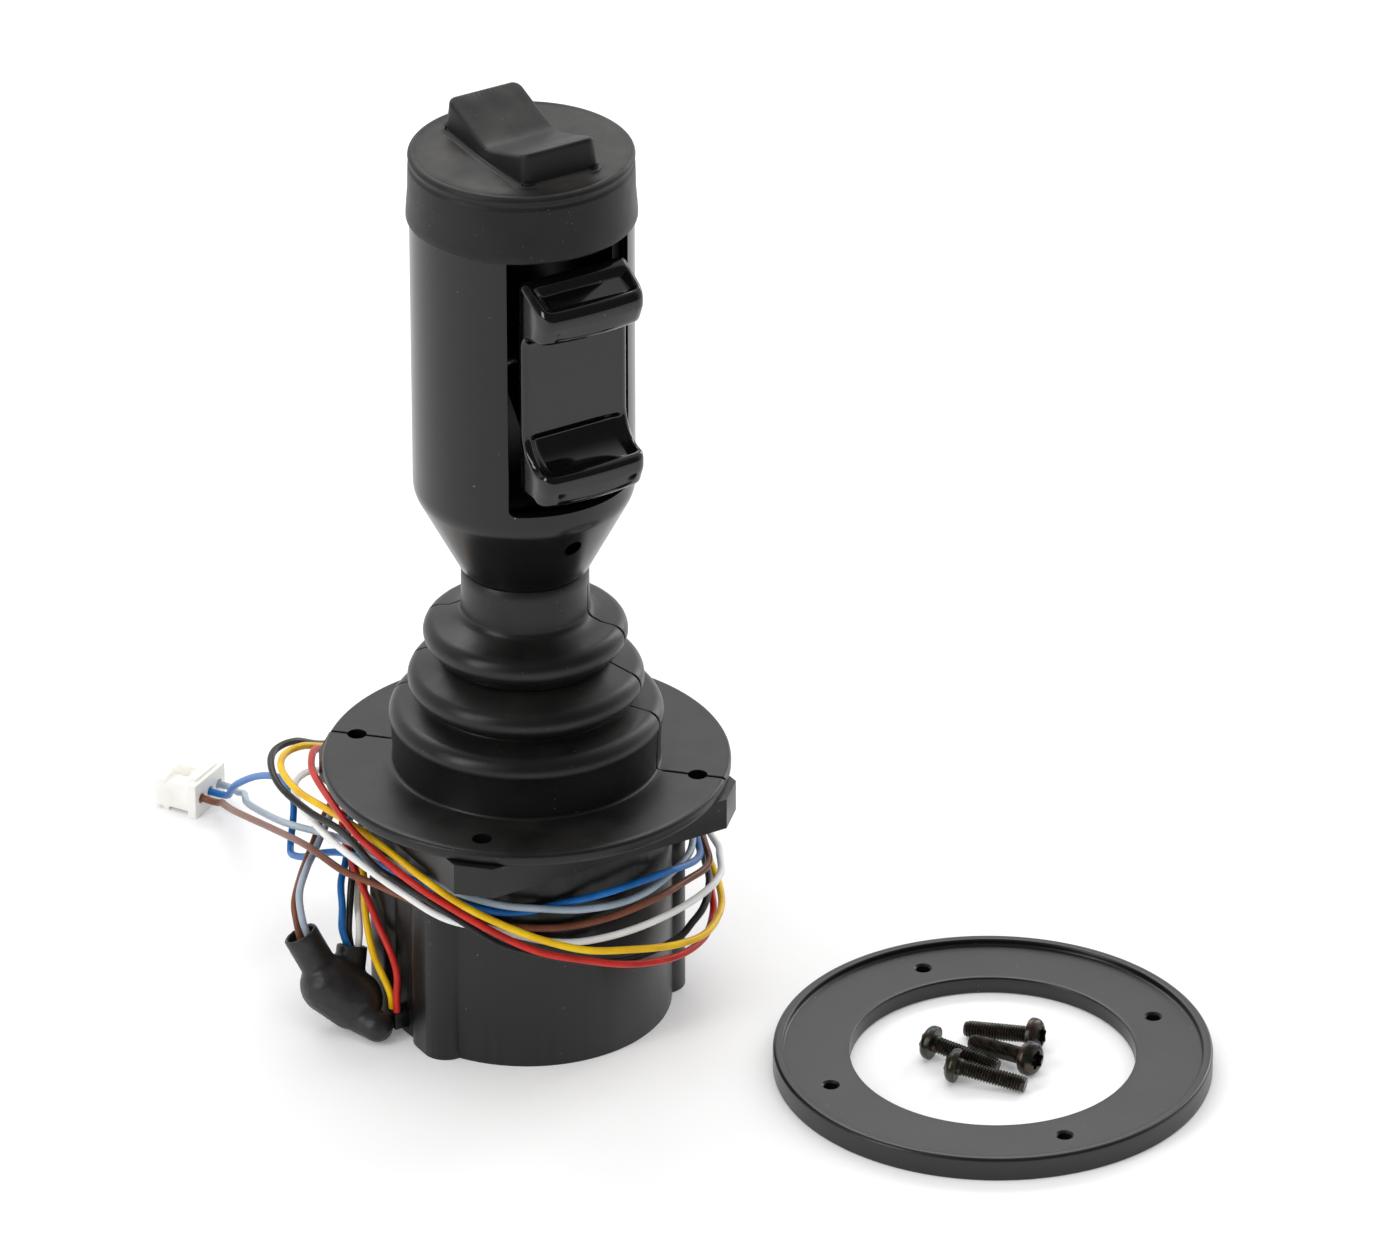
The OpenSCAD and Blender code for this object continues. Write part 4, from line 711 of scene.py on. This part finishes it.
# The flange with a round rim and a fillet to the wall, the folds outside and inside, and the neck's lip, all
# turned about Z, then four bolt holes
def addBoot():
    up = np.array([0, boot["foot"]])
    rim, top, edge = boot["flange"], boot["flangeTop"], boot["flangeEdge"]
    wall, fillet = boot["wall"], boot["fillet"]
    neck, neckTop, skin = boot["neck"], boot["neckTop"], boot["skin"]
    outerLow, outerHigh = bootSide(0)
    innerLow, innerHigh = bootSide(skin)
    flange = np.vstack([
        [(wall - skin, 0.0), (rim - 0.6, 0.0)],
        arcPoints((rim - edge, edge), edge, -60, 0, 3),
        arcPoints((rim - edge, top - edge), edge, 0, 90, 5),
        np.stack([np.linspace(rim - 2, wall + fillet, 13), np.full(13, top)], -1),
        arcPoints((wall + fillet, top + fillet), fillet, -120, -180, 4),
        [(wall, 7.0)]])
    low = np.vstack([flange, outerLow, innerLow[::-1], [(wall - skin, 8.0)]])
    lip = np.array([(neck, neckTop - 0.3), (neck - 0.3, neckTop), (neck - skin, neckTop)])
    high = np.vstack([outerHigh, lip, innerHigh[::-1]])
    lower = revolve("bootLower", low + up, bootAngles(), True, partingGroove)
    upper = revolve("bootUpper", high + up, bootAngles(), True, partingGroove)
    hole = np.array([[0.001, 55], [boot["holeRadius"], 55], [boot["holeRadius"], 66], [0.001, 66]])
    for i, j in [(1, 1), (1, -1), (-1, 1), (-1, -1)]:
        drill(lower, hole, 40, i * boot["holeAt"], j * boot["holeAt"])
    sharp(lower, 50)
    for piece in (lower, upper):
        setMaterial(piece, materials["black_rubber"])
    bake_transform(lower)
    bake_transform(upper)
    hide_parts("boot")
    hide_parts("boot")


addBoot()
print("boot made")


# The cap and its rocker hump, one soft moulding
cap = {
    "skirt": 199.8, "skirtRadius": 25.75, "radius": 25.2, "top": 215.8, "rimBead": 1.15, "groove": 0.35,
    "humpLength": 35.2, "humpWidth": 19.4, "humpTop": 223.5, "dip": 218.3, "draft": 0.5, "corner": 2.2,
    "edge": 0.9, "skin": 2.0, "wall": 1.2, "blunt": 0.012, "rays": 320,
}


# Points of a round-cornered rectangle, met by rays at even angles; corner = halfX = halfY gives a circle
def capRing(halfX, halfY, corner):
    count = cap["rays"]
    a = fullTurn(count) + math.pi / count
    c, s = np.cos(a), np.sin(a)
    reach = np.minimum(halfX / np.maximum(np.abs(c), 1e-9), halfY / np.maximum(np.abs(s), 1e-9))
    cx, cy = halfX - corner, halfY - corner
    along = np.abs(c) * cx + np.abs(s) * cy
    inside = along ** 2 - (cx ** 2 + cy ** 2 - corner ** 2)
    bow = along + np.sqrt(np.maximum(inside, 0))
    inCorner = (reach * np.abs(c) > cx) & (reach * np.abs(s) > cy)
    r = np.where(inCorner, bow, reach)
    return np.stack([r * c, r * s], -1)


# The hump's top: a V along the hump, a hyperbola at its bottom, level past its two ends
def humpCrest(ring):
    half = cap["humpLength"] / 2 - cap["draft"] - 0.4
    flat = math.sqrt(cap["blunt"])
    rise = np.sqrt((np.abs(ring[:, 1]) / half) ** 2 + cap["blunt"]) - flat
    v = cap["dip"] + (cap["humpTop"] - cap["dip"]) * rise / (math.sqrt(1 + cap["blunt"]) - flat)
    return np.minimum(v, cap["humpTop"])


# The cap's side view from the skirt's lip up to the rolled rim and in over the top
def capSide():
    r, top, bead, lip = cap["radius"], cap["top"], cap["rimBead"], cap["skirtRadius"]
    return np.vstack([
        [(lip - cap["skin"], cap["skirt"]), (lip - 0.5, cap["skirt"])],
        arcPoints((lip - 0.5, cap["skirt"] + 0.5), 0.5, -60, 0, 3),
        [(lip - 0.05, cap["skirt"] + 2.0), (r + 0.1, cap["skirt"] + 7), (r - 0.02, top - 3.5)],
        [(r - 0.05, top - 3.1), (r - 0.25, top - 2.8), (r - cap["groove"], top - 2.5), (r - 0.3, top - 2.2)],
        arcPoints((r - bead, top - bead), bead, -42, 90, 10),
        arcPoints((r - bead, top - bead), bead, 96, 112, 3),
        [(r - 2.3, top - 0.22), (r - 3.2, top - 0.28), (r - 4.2, top - 0.22), (r - 4.9, top - 0.12)]])


# Rings up the side and over the rim, then across the top from a circle to the hump's round-cornered
# rectangle, over a thin raised line, up the drafted side, round a quarter circle and in along the hump's top
def addCap():
    rings, heights = [], []

    def addRing(ring, height):
        rings.append(ring)
        heights.append(height + np.zeros(len(ring)))

    top, edge, draft = cap["top"], cap["edge"], cap["draft"]
    for radius, height in capSide():
        addRing(capRing(radius, radius, radius), height)
    foot = (cap["humpWidth"] / 2 + 0.1, cap["humpLength"] / 2 + 0.1, cap["corner"] + 0.1)
    outer = cap["radius"] - 5.2
    for t, lift in ((0.25, -0.06), (0.5, -0.03), (0.8, 0.0), (0.93, 0.02)):
        inner = capRing(foot[0] + 1.1, foot[1] + 1.1, foot[2] + 1.1)
        addRing(capRing(outer, outer, outer) * (1 - t) + inner * t, top + lift)
    for out, lift in ((0.9, 0.02), (0.75, 0.34), (0.5, 0.46), (0.25, 0.34), (0.08, 0.0)):
        addRing(capRing(foot[0] + out, foot[1] + out, foot[2] + out), top + lift)
    for t in np.linspace(0, 1, 9)[1:]:
        ring = capRing(foot[0] - draft * t, foot[1] - draft * t, foot[2])
        addRing(ring, top + (np.maximum(humpCrest(ring) - edge, top + 0.15) - top) * t)
    for turn in np.radians((18, 36, 54, 72, 90)):
        inset = draft + edge * (1 - math.cos(turn))
        ring = capRing(foot[0] - inset, foot[1] - inset, max(foot[2] - edge * (1 - math.cos(turn)), 0.6))
        addRing(ring, np.maximum(humpCrest(ring) - edge, top + 0.15) + edge * math.sin(turn))
    last = draft + edge
    for t in (0.12, 0.25, 0.4, 0.55, 0.7, 0.84, 0.95):
        half = (foot[0] - last) * (1 - t)
        ring = capRing(half, foot[1] - last, min(0.6, half))
        addRing(ring, np.maximum(humpCrest(ring) - edge, top + 0.15) + edge)
    points = np.concatenate([np.column_stack([ring, height]) for ring, height in zip(rings, heights)])
    made = addMesh("capAndRocker", points, gridFaces(len(rings), cap["rays"]))
    closeTop(made, (len(rings) - 1) * cap["rays"])
    return made


# Joins the two long sides of the last, almost flat ring by faces across it, between points alike along Y
def closeTop(piece, first):
    with editing(piece.data) as work:
        ring = [work.verts[first + k] for k in range(cap["rays"])]
        right = sorted([v for v in ring if v.co.x > 0], key=lambda v: v.co.y)
        left = sorted([v for v in ring if v.co.x <= 0], key=lambda v: v.co.y)
        for a, b, c, d in zip(right[:-1], right[1:], left[1:], left[:-1]):
            work.faces.new((a, b, c, d))
        work.normal_update()
    shade(piece)


capPiece = addCap()
wall = capPiece.modifiers.new("skin", "SOLIDIFY")
wall.thickness, wall.offset = cap["wall"] * mm, -1
setMaterial(capPiece, materials["capRubber"])
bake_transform(capPiece)
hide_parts("cap", "rocker_cover")
print("cap made")


# A C in side view with two dished wings; distances forward from the stick's axis, heights from the pivot
paddle = {
    "centre": 169.3, "width": 26.7, "face": 23.0, "mid": 10.6, "back": 20.5, "reach": 33.0, "side": 1.5,
    "corner": 3.2, "bow": 0.7, "lowBow": 1.3, "bowFrom": 26.0, "rim": 2.4, "dish": 1.3, "thin": 0.32,
    "upperLip": 18.2, "lowerLip": -22.0, "wingPoints": 72, "middlePoints": 10, "columns": 45,
}


# Zero below low, one above high, and 3 t squared minus 2 t cubed between
def smoothStep(x, low, high):
    t = np.clip((x - low) / (high - low), 0, 1)
    return t * t * (3 - 2 * t)


# How far a rounding of this radius draws a side in, by the distance inside the edge
def quarter(radius, inside):
    return radius - np.sqrt(np.maximum(radius ** 2 - np.maximum(radius - inside, 0) ** 2, 0))


# The same open path with points at equal steps of its length
def resampled(path, count):
    far = np.concatenate([[0], np.cumsum(np.linalg.norm(np.diff(path, axis=0), axis=1))])
    at = np.linspace(0, far[-1], count)
    return np.stack([np.interp(at, far, path[:, 0]), np.interp(at, far, path[:, 1])], -1)


# The side view as a closed loop of (forward, height): from the upper lip round its underside, down the middle
# face, over the lower scoop to the lower lip, and back up the rear
def paddleLoop():
    s = paddle
    face, mid, back, reach = s["face"], s["mid"], s["back"], s["reach"]
    upperLip, lowerLip = (reach, s["upperLip"]), (reach, s["lowerLip"])
    a = np.radians(np.linspace(180, 97, 24))
    scoop = np.stack([face + 8.0 + 8.0 * np.cos(a), -mid - 7.4 * np.sin(a)], -1)
    upperFront = roundPath([upperLip, (reach - 0.6, 13.9), (face, 12.9), (face, 9)], [2.0, 3.0], 9)
    upperRear = roundPath([upperLip, (reach, 21.7), (25.2, 24.9), (22.5, 26.2), (back - 0.1, 25.7),
                           (back, 9)], [2.4, 0.8, 0.6, 1.5], 9)
    toLip = roundPath([scoop[-1], (reach, -18.3), lowerLip], [2.0], 9)[1:]
    lowerFront = np.vstack([[(face, -9)], scoop, toLip])
    lowerRear = roundPath([(back, -9), (back - 0.1, -25.9), (reach - 0.5, -26.3), lowerLip], [2.3, 1.9], 9)

    def run(upper, lower, at):
        middle = resampled(np.array([(at, 9.0), (at, -9.0)]), s["middlePoints"])[1:-1]
        return np.vstack([resampled(upper, s["wingPoints"]), middle, resampled(lower, s["wingPoints"])])

    return np.vstack([run(upperFront, lowerFront, face), run(upperRear, lowerRear, back)[-2:0:-1]])


# The loop's outward directions, each square to the line between its point's two neighbours
def outward(loop):
    along = np.roll(loop, -1, 0) - np.roll(loop, 1, 0)
    along /= np.linalg.norm(along, axis=1)[:, None] + 1e-12
    return np.stack([-along[:, 1], along[:, 0]], -1)


# The loop carried across the width. Towards the sides it draws in by a quarter circle, the lips bow forward
# in the middle by the square of the distance from it, and inside the rims the wings' faces sink by the dish
# depth
def addPaddle():
    s = paddle
    loop = paddleLoop()
    out = outward(loop)
    size = len(loop)
    f, z = loop[:, 0][None, :], loop[:, 1][None, :]
    onScoop = (smoothStep(-z, s["mid"] + 0.7, s["mid"] + 2.2) * smoothStep(-f, -31.2, -29.8)
               * smoothStep(z, -20, -19) * (f > s["face"] - 0.5))
    onTop = smoothStep(z, 21.2, 21.8) * smoothStep(f, 24.4, 25.9) * smoothStep(-f, -31.6, -30.2)
    width, side = s["width"] / 2, s["side"]
    edge = side * (1 - np.cos(np.radians([0, 12, 26, 40, 54, 68, 79, 90])))
    flat = np.linspace(-width + side + 0.3, width - side - 0.3, s["columns"])
    u = np.concatenate([-width + edge, flat, (width - edge)[::-1]])
    inside = (width - np.abs(u))[:, None]
    # the middle is thin, so its two edges are rounded less and never meet
    draw = quarter(side, inside) * (1 - s["thin"] * smoothStep(-np.abs(z), -15.5, -13.0))
    sink = s["dish"] * smoothStep(inside, side * 0.8, side * 0.8 + s["rim"]) * (onScoop + onTop)
    low = np.where(z > 0, smoothStep(-z, -19.0, -14.0), smoothStep(-z, 21.0, 26.0))
    pull = quarter(s["corner"], inside) + (s["bow"] + s["lowBow"] * low) * (u[:, None] / width) ** 2
    # the pull grows slower than the distance to the lip, so the side view never folds over
    drawn = f - out[:, 0][None, :] * (draw + sink)
    forward = drawn - pull * np.clip((drawn - s["bowFrom"]) / (s["reach"] - s["bowFrom"]), 0, 1)
    up = z - out[:, 1][None, :] * (draw + sink)
    points = np.stack([np.repeat(u[:, None], size, 1), -forward, s["centre"] + up], -1)
    # each side is filled with the triangles that lie inside its outline
    outline = np.stack([forward[0], up[0]], -1).tolist()
    filled = delaunay_2d_cdt(outline, [], [list(range(size))], 1, 1e-7)
    near = [[filled[3][corner][0] for corner in face] for face in filled[2]]
    far = [[corner + (len(u) - 1) * size for corner in face[::-1]] for face in near]
    made = addMesh("thumbPaddle", points.reshape(-1, 3), gridFaces(len(u), size) + near + far)
    mergeClose(made)
    # the flat sides are shaded flat
    faces = made.data.polygons
    middles = np.empty(len(faces) * 3)
    faces.foreach_get("center", middles)
    faces.foreach_set("use_smooth", np.abs(middles[::3]) < (width - 0.004) * mm)
    return made


dress(addPaddle(), "gloss_black", "front_rocker", "thumb_paddle")
paddleEar = {"pivot": 8.0, "radius": 4.0, "near": 7.2, "far": 9.2}


# Each ear is a plate round the pivot pin: a loop made of a circle and two lines to the paddle's back, given
# thickness
def addPaddleEar(word, side):
    s = paddleEar
    circle = arcPoints((s["pivot"], 0), s["radius"], 110, 250, 15)
    loop = np.vstack([circle, [(15, -15.2), (21.5, -20), (21.5, 20), (15, 15.2)]])
    count = len(loop)
    points = np.concatenate([
        np.column_stack([np.full(count, x * side), -loop[:, 0], paddle["centre"] + loop[:, 1]])
        for x in (s["near"], s["far"])])
    piece = addMesh("paddleEar" + word, points, gridFaces(2, count), False)
    closeSides(piece, 2, count)
    dress(piece, "gloss_black", "front_rocker")


addPaddleEar("Left", -1)
addPaddleEar("Right", 1)
print("paddle made")


# Loose pan-head screws, each with its place on the floor and its heading in degrees
looseScrew = {
    "diameter": 4.0, "pitch": 0.7, "length": 16.0, "root": 3.15, "headDiameter": 8.0, "headHeight": 2.9,
    "recess": 1.9, "lobe": 0.32, "recessDepth": 1.5, "round": 1.9, "sides": 36, "stepsPerTurn": 7,
}
looseScrewAt = [(63.2, -84.7, -49.5), (64.0, -73.4, -58.0), (78.6, -89.4, 109.0), (84.8, -81.4, 126.0)]


# The thread's radii, whose crests follow a triangle wave of turns minus angle and fade out at both ends
def threadRows(a):
    s = looseScrew
    major, root, length = s["diameter"] / 2, s["root"] / 2, s["length"]
    along = np.linspace(length, 0.5, int(length / s["pitch"] * s["stepsPerTurn"]))
    turns = along[:, None] / s["pitch"] - a[None, :] / (2 * math.pi)
    crest = np.clip((np.abs((turns % 1) * 2 - 1) - 0.1) / 0.8, 0, 1)
    fade = np.clip(np.minimum((length - along) / 1.0, (along - 0.5) / 0.8), 0, 1)[:, None]
    radii = root + (major - root) * (crest * fade + (1 - fade) * np.where(along[:, None] < 2, 1, 0.2))
    return list(zip(radii, along))


# Rows of (radius, distance from the head's underside): the tip, the thread, the head's dome, and the
# six-lobed recess, whose radius swings with the cosine of six times the angle
def looseScrewRows(a):
    s = looseScrew
    head, height, recess, swell = s["headDiameter"] / 2, s["headHeight"], s["recessDepth"], s["round"]
    star = s["recess"] + s["lobe"] * np.cos(6 * a)
    rows = [(0.01, s["length"]), (s["root"] / 2 * 0.8, s["length"])] + threadRows(a)
    rows += [(s["diameter"] / 2, 0.0), (head - 0.15, 0.0), (head, -0.2), (head, -0.9)]
    rows += [(head - swell + swell * math.cos(t), -0.9 - (height - 1.15) * math.sin(t))
             for t in np.radians([12, 26, 40, 54, 66, 76])]
    return rows + [(star + 0.15, -height), (star, -height + 0.12), (star, -height + recess),
                   (0.01, -height + recess + 0.3)]


# The rows set along an axis that leans down from the head, resting on its rim and on the thread's tip
def addLooseScrew(number, x, y, yaw):
    s = looseScrew
    a = fullTurn(s["sides"])
    rows = looseScrewRows(a)
    r = np.stack([row[0] + 0 * a for row in rows])
    w = np.array([row[1] for row in rows])[:, None] + 0 * r
    lean = math.asin((s["headDiameter"] - s["diameter"]) / 2 / s["length"])
    heading = math.radians(yaw)
    axis = np.array([math.cos(heading) * math.cos(lean), math.sin(heading) * math.cos(lean), -math.sin(lean)])
    side = np.array([-math.sin(heading), math.cos(heading), 0])
    up = np.cross(axis, side)
    centre = np.array([x, y, s["headDiameter"] / 2])
    spoke = np.cos(a)[None, :, None] * side - np.sin(a)[None, :, None] * up
    points = centre + w[..., None] * axis + r[..., None] * spoke
    piece = addMesh(f"looseScrew{number}", points.reshape(-1, 3), gridFaces(len(rows), len(a)))
    mergeClose(piece, 1e-6, True)
    sharp(piece, 35)
    dress(piece, "blackZinc", "base", "bezel_screws")


for number, (x, y, yaw) in enumerate(looseScrewAt, 1):
    addLooseScrew(number, x, y, yaw)
print("loose screws made")

# The shrink sleeve: an even skin over the CAD form, relaxed until it looks shrunk on
sleeve = {"cell": 0.45, "passes": 7}
dress(reskinned(mergedCopy("shrink_sleeve", "shrinkSleeve"), sleeve["cell"], sleeve["passes"]),
      "sleeve_black", "base", "shrink_sleeve")
print("sleeve made")


# The grip, with the paddle's pocket and the clamp screw's hole let into it
grip = {
    "foot": 112.5, "footRadius": 14.55, "coneTop": 132.5, "radius": 25.0, "bore": 22.5, "shaftBore": 4.55,
    "spigot": 7.0, "spigotRadius": 12.65, "skirt": 199.8, "spigotTop": 213.7, "spigotTopRadius": 23.5,
    "coneEdge": 2.0, "lip": 0.6,
    "pocketHalf": 15.5, "pocketFloor": 136.9, "pocketCorner": 1.6, "pocketBack": -11.25,
    "holeUp": 125.7, "holeRadius": 2.1, "postAt": 19.4, "postRadius": 3.1, "postBore": 1.35,
    "postLength": 10.0,
}


# The closed side view: the lower spigot, foot, cone, cylinder and upper spigot outside, the cavity and shaft
# bore inside
def gripSide():
    g = grip
    foot, skirt, coneTop = g["foot"], g["skirt"], g["coneTop"]
    low, high = g["spigotRadius"], g["spigotTopRadius"]
    outside = roundPath([(g["shaftBore"], foot), (g["footRadius"], foot), (g["radius"], coneTop),
                         (g["radius"], 180)], [0.8, g["coneEdge"]], 7)[1:-1]
    cone = np.linspace(outside[6], outside[7], 8)[1:-1]
    tube = np.stack([np.full(16, g["radius"]), np.linspace(coneTop + 3, skirt - 0.1, 16)], -1)
    return np.vstack([
        [(g["shaftBore"], foot), (low - 1.8, foot), (low - 1.8, foot - g["spigot"]),
         (low, foot - g["spigot"]), (low, foot)],
        outside[:7], cone, outside[7:], tube,
        [(high, skirt - 0.1), (high, g["spigotTop"]), (high - 2, g["spigotTop"]), (high - 2, skirt),
         (g["bore"], skirt - 1), (g["bore"], coneTop), (g["shaftBore"], coneTop - 2),
         (g["shaftBore"], foot + 6)]])


# The side view turned about Z. A block with round lower corners cuts the pocket and a bar the hole, and every
# cut edge is then rounded
def addGrip():
    g = grip
    piece = revolve("gripBody", gripSide(), fullTurn(192), True)
    half, low, c = g["pocketHalf"], g["pocketFloor"], g["pocketCorner"]
    window = np.vstack([arcPoints((-half + c, low + c), c, 180, 270, 6),
                        arcPoints((half - c, low + c), c, 270, 360, 6),
                        [(half, g["skirt"]), (-half, g["skirt"])]])
    cutBy(piece, addPrism("block", window, (-30, g["pocketBack"])))
    cutBy(piece, addPrism("bar", arcPoints((0, g["holeUp"]), g["holeRadius"], 0, 345, 24), (-30, -3)))
    mergeClose(piece)
    dress(roundedEdges(piece, g["lip"], 40), "grip", "stick", "handle_body")


# A screw post at each side of the grip's mouth: a tube whose top is just below the skirt
def addScrewPost(word, side):
    top = grip["skirt"] - 0.8
    low = top - grip["postLength"]
    outline = np.array([(grip["postBore"], low), (grip["postRadius"], low), (grip["postRadius"], top),
                        (grip["postBore"], top)])
    post = revolve("screwPost" + word, outline, fullTurn(32), True)
    shifted(post, side * grip["postAt"], 0)
    sharp(post, 40)
    dress(post, "grip", "stick", "handle_body")


addGrip()
addScrewPost("Left", -1)
addScrewPost("Right", 1)
print("grip made")


# The bezel ring with its four tapped holes
bezel = {
    "at": (73.5, -83.0), "turn": -9, "outer": 50.0, "inner": 32.5, "height": 5.6, "recess": 47.7,
    "floor": 4.2, "edge": 0.45, "holeCircle": 40.0, "hole": 1.65, "sink": 0.45, "holeDepth": 3.0,
}


# The section, with its edges broken and a step down to the recess, turned about the ring's axis
def addBezelRing():
    g = bezel
    e, r, floor = g["edge"], g["hole"], g["floor"]
    inner, outer, recess = g["inner"], g["outer"], g["recess"]
    section = np.vstack([
        [(inner, e), (inner + e, 0), (outer - e, 0)],
        arcPoints((outer - e, e), e, -60, 0, 3),
        arcPoints((outer - 0.8, g["height"] - 0.8), 0.8, 0, 90, 6),
        [(recess + 0.45, g["height"])],
        arcPoints((recess + 0.4, g["height"] - 0.4), 0.4, 110, 180, 4),
        [(recess, floor + 0.5)],
        arcPoints((recess - 0.5, floor + 0.5), 0.5, -10, -90, 5),
        np.stack([np.linspace(recess - 1.2, inner + 1.2, 12), np.full(12, floor)], -1),
        arcPoints((inner + 0.4, floor - 0.4), 0.4, 90, 180, 4)])
    piece = revolve("bezelRing", section, fullTurn(200), True)
    hole = np.array([(0.001, floor - g["holeDepth"]), (r, floor - g["holeDepth"] + 0.6),
                     (r, floor - g["sink"]), (r + g["sink"] + 0.3, floor + 0.3), (0.001, floor + 0.3)])
    for k in range(4):
        a = math.radians(g["turn"] + 90 * k)
        drill(piece, hole, 32, g["holeCircle"] * math.cos(a), g["holeCircle"] * math.sin(a))
    shifted(piece, *g["at"])
    sharp(piece, 40)
    dress(piece, "anodised_black", "base", "bezel_ring")


addBezelRing()
print("bezel ring made")

# Copies of rigid CAD parts with their edges rounded: name, look, width of the rounding and its least angle
finished = {
    "housing": ("housingShell", "black_nylon", 0.35, 35),
    "mounting_plate": ("mountingPlate", "black_nylon", 0.5, 30),
    "cable_grommet": ("cableGrommet", "black_rubber", 0.3, 30),
}
for node, (name, look, width, angle) in finished.items():
    dress(roundedEdges(mergedCopy(node, name), width, angle), look, "base", node)
print("finished copies made:", len(finished))

# The CAD nodes that stay, each with its slot's material
stays = {
    "housing_screws": "black_oxide_steel", "bearing_brackets": "painted_black",
    "bracket_screws": "zinc_steel", "trunnion_bushes": "bronze",
    "circuit_board": "board_green", "board_screws": "zinc_steel",
    "hall_sensor": "sensor_black", "pin_header": "white_nylon", "x_return_spring": "spring_steel",
    "y_return_spring": "spring_steel", "gimbal_ring": "cast_alloy", "trunnion_pins": "zinc_steel",
    "cross_bushes": "bronze", "shaft": "zinc_steel", "shaft_hub": "cast_alloy", "cross_pins": "zinc_steel",
    "magnet_holder": "white_nylon", "sensing_magnet": "zinc_steel", "clamp_screw": "blackZinc",
    "switch_carrier": "black_nylon", "carrier_screws": "zinc_steel", "front_switch_body": "sensor_black",
    "front_pivot_pin": "zinc_steel", "top_switch_body": "sensor_black", "top_pivot_pin": "zinc_steel",
    "rocker_actuator": "white_nylon",
}
for node, made in nodes.items():
    setMaterial(made, materials[stays.get(node, "black_nylon")])
print("nodes dressed:", len(nodes))


# The white sweep, the world's light, and each soft box: place in metres, width and height, watts, and whether
# reflections show it
studio = {
    "floorHalf": 3000, "floorGlow": 0.13, "world": 0.62, "backWay": (0.5, 0.84, -0.2),
    "frontGloss": 0.12, "backGloss": 0.95,
}
softBoxes = {
    "softLeft": ((-1.3, -0.1, 0.7), (0.35, 1.1), 7.0, True),
    "softRight": ((1.2, 0.3, 0.6), (0.3, 1.0), 4.5, True),
    "stripBack": ((0.3, 1.1, 1.25), (1.5, 0.3), 7.0, True),
    "softTop": ((0.0, -0.2, 1.6), (1.4, 1.4), 6.0, False),
}


# A pale floor that shows white to the camera and in reflections, and keeps the object's soft shadow
def addFloor():
    s = studio["floorHalf"]
    made = addMesh("floor", [(-s, -s, 0), (s, -s, 0), (s, s, 0), (-s, s, 0)], [(0, 1, 2, 3)], False)
    material = bpy.data.materials.new("whiteSweep")
    tree = emptyTree(material)
    place = addNode(tree, "ShaderNodeTexCoord").outputs["Object"]
    tone = ramp(tree, noise(tree, place, 60, 2.0), 0.3, 0.7, hexColour("#f3f3f3"), hexColour("#f6f6f6"))
    shader = addNode(tree, "ShaderNodeBsdfDiffuse", {"Color": tone})
    glow = addNode(tree, "ShaderNodeEmission", {"Color": grey(1), "Strength": studio["floorGlow"]})
    path = addNode(tree, "ShaderNodeLightPath").outputs
    seen = combine(tree, "MAXIMUM", path["Is Camera Ray"], path["Is Glossy Ray"])
    seen = combine(tree, "MAXIMUM", seen, path["Is Transmission Ray"])
    none = addNode(tree, "ShaderNodeEmission", {"Strength": 0.0})
    pick = addNode(tree, "ShaderNodeMixShader", {0: seen, 1: none, 2: glow})
    both = addNode(tree, "ShaderNodeAddShader", {0: shader, 1: pick})
    addNode(tree, "ShaderNodeOutputMaterial", {"Surface": both})
    setMaterial(made, material)


# A white room: plain light on the object, white behind it, and in reflections bright at the back and sides,
# darker over the front, as in a light tent
def addWorld():
    world = bpy.data.worlds.new("whiteRoom")
    bpy.context.scene.world = world
    tree = emptyTree(world)
    path = addNode(tree, "ShaderNodeLightPath").outputs
    way = addNode(tree, "ShaderNodeTexCoord").outputs["Generated"]
    back = addNode(tree, "ShaderNodeVectorMath", {0: way, 1: studio["backWay"]}, operation="DOT_PRODUCT")
    toBack = addNode(tree, "ShaderNodeMapRange", {
        "Value": back.outputs["Value"], "From Min": -1.0, "From Max": 1.0})
    tone = ramp(tree, toBack, 0.3, 0.72, grey(studio["frontGloss"]), grey(studio["backGloss"]))
    tone.color_ramp.interpolation = "EASE"
    light = addNode(tree, "ShaderNodeBackground", {"Color": grey(1), "Strength": studio["world"]})
    white = addNode(tree, "ShaderNodeBackground", {"Color": grey(1), "Strength": 1.0})
    gloss = addNode(tree, "ShaderNodeBackground", {"Color": tone, "Strength": 1.0})
    first = addNode(tree, "ShaderNodeMixShader", {0: path["Is Camera Ray"], 1: light, 2: white})
    mirror = combine(tree, "MAXIMUM", path["Is Glossy Ray"], path["Is Transmission Ray"])
    second = addNode(tree, "ShaderNodeMixShader", {0: mirror, 1: first, 2: gloss})
    addNode(tree, "ShaderNodeOutputWorld", {"Surface": second})


# An area lamp that faces the middle of the joystick's foot
def addSoftBox(name, place, size, power, mirrored):
    data = bpy.data.lights.new(name, "AREA")
    data.shape, data.size, data.size_y = "RECTANGLE", size[0], size[1]
    data.energy = power
    made = linked(name, data)
    made.visible_glossy = mirrored
    made.location = place
    made.rotation_euler = (Vector((0, 0, 0.1)) - Vector(place)).to_track_quat("-Z", "Y").to_euler()


addFloor()
addWorld()
for name, box in softBoxes.items():
    addSoftBox(name, *box)
bpy.context.scene.view_settings.view_transform = "Standard"
print("studio set")
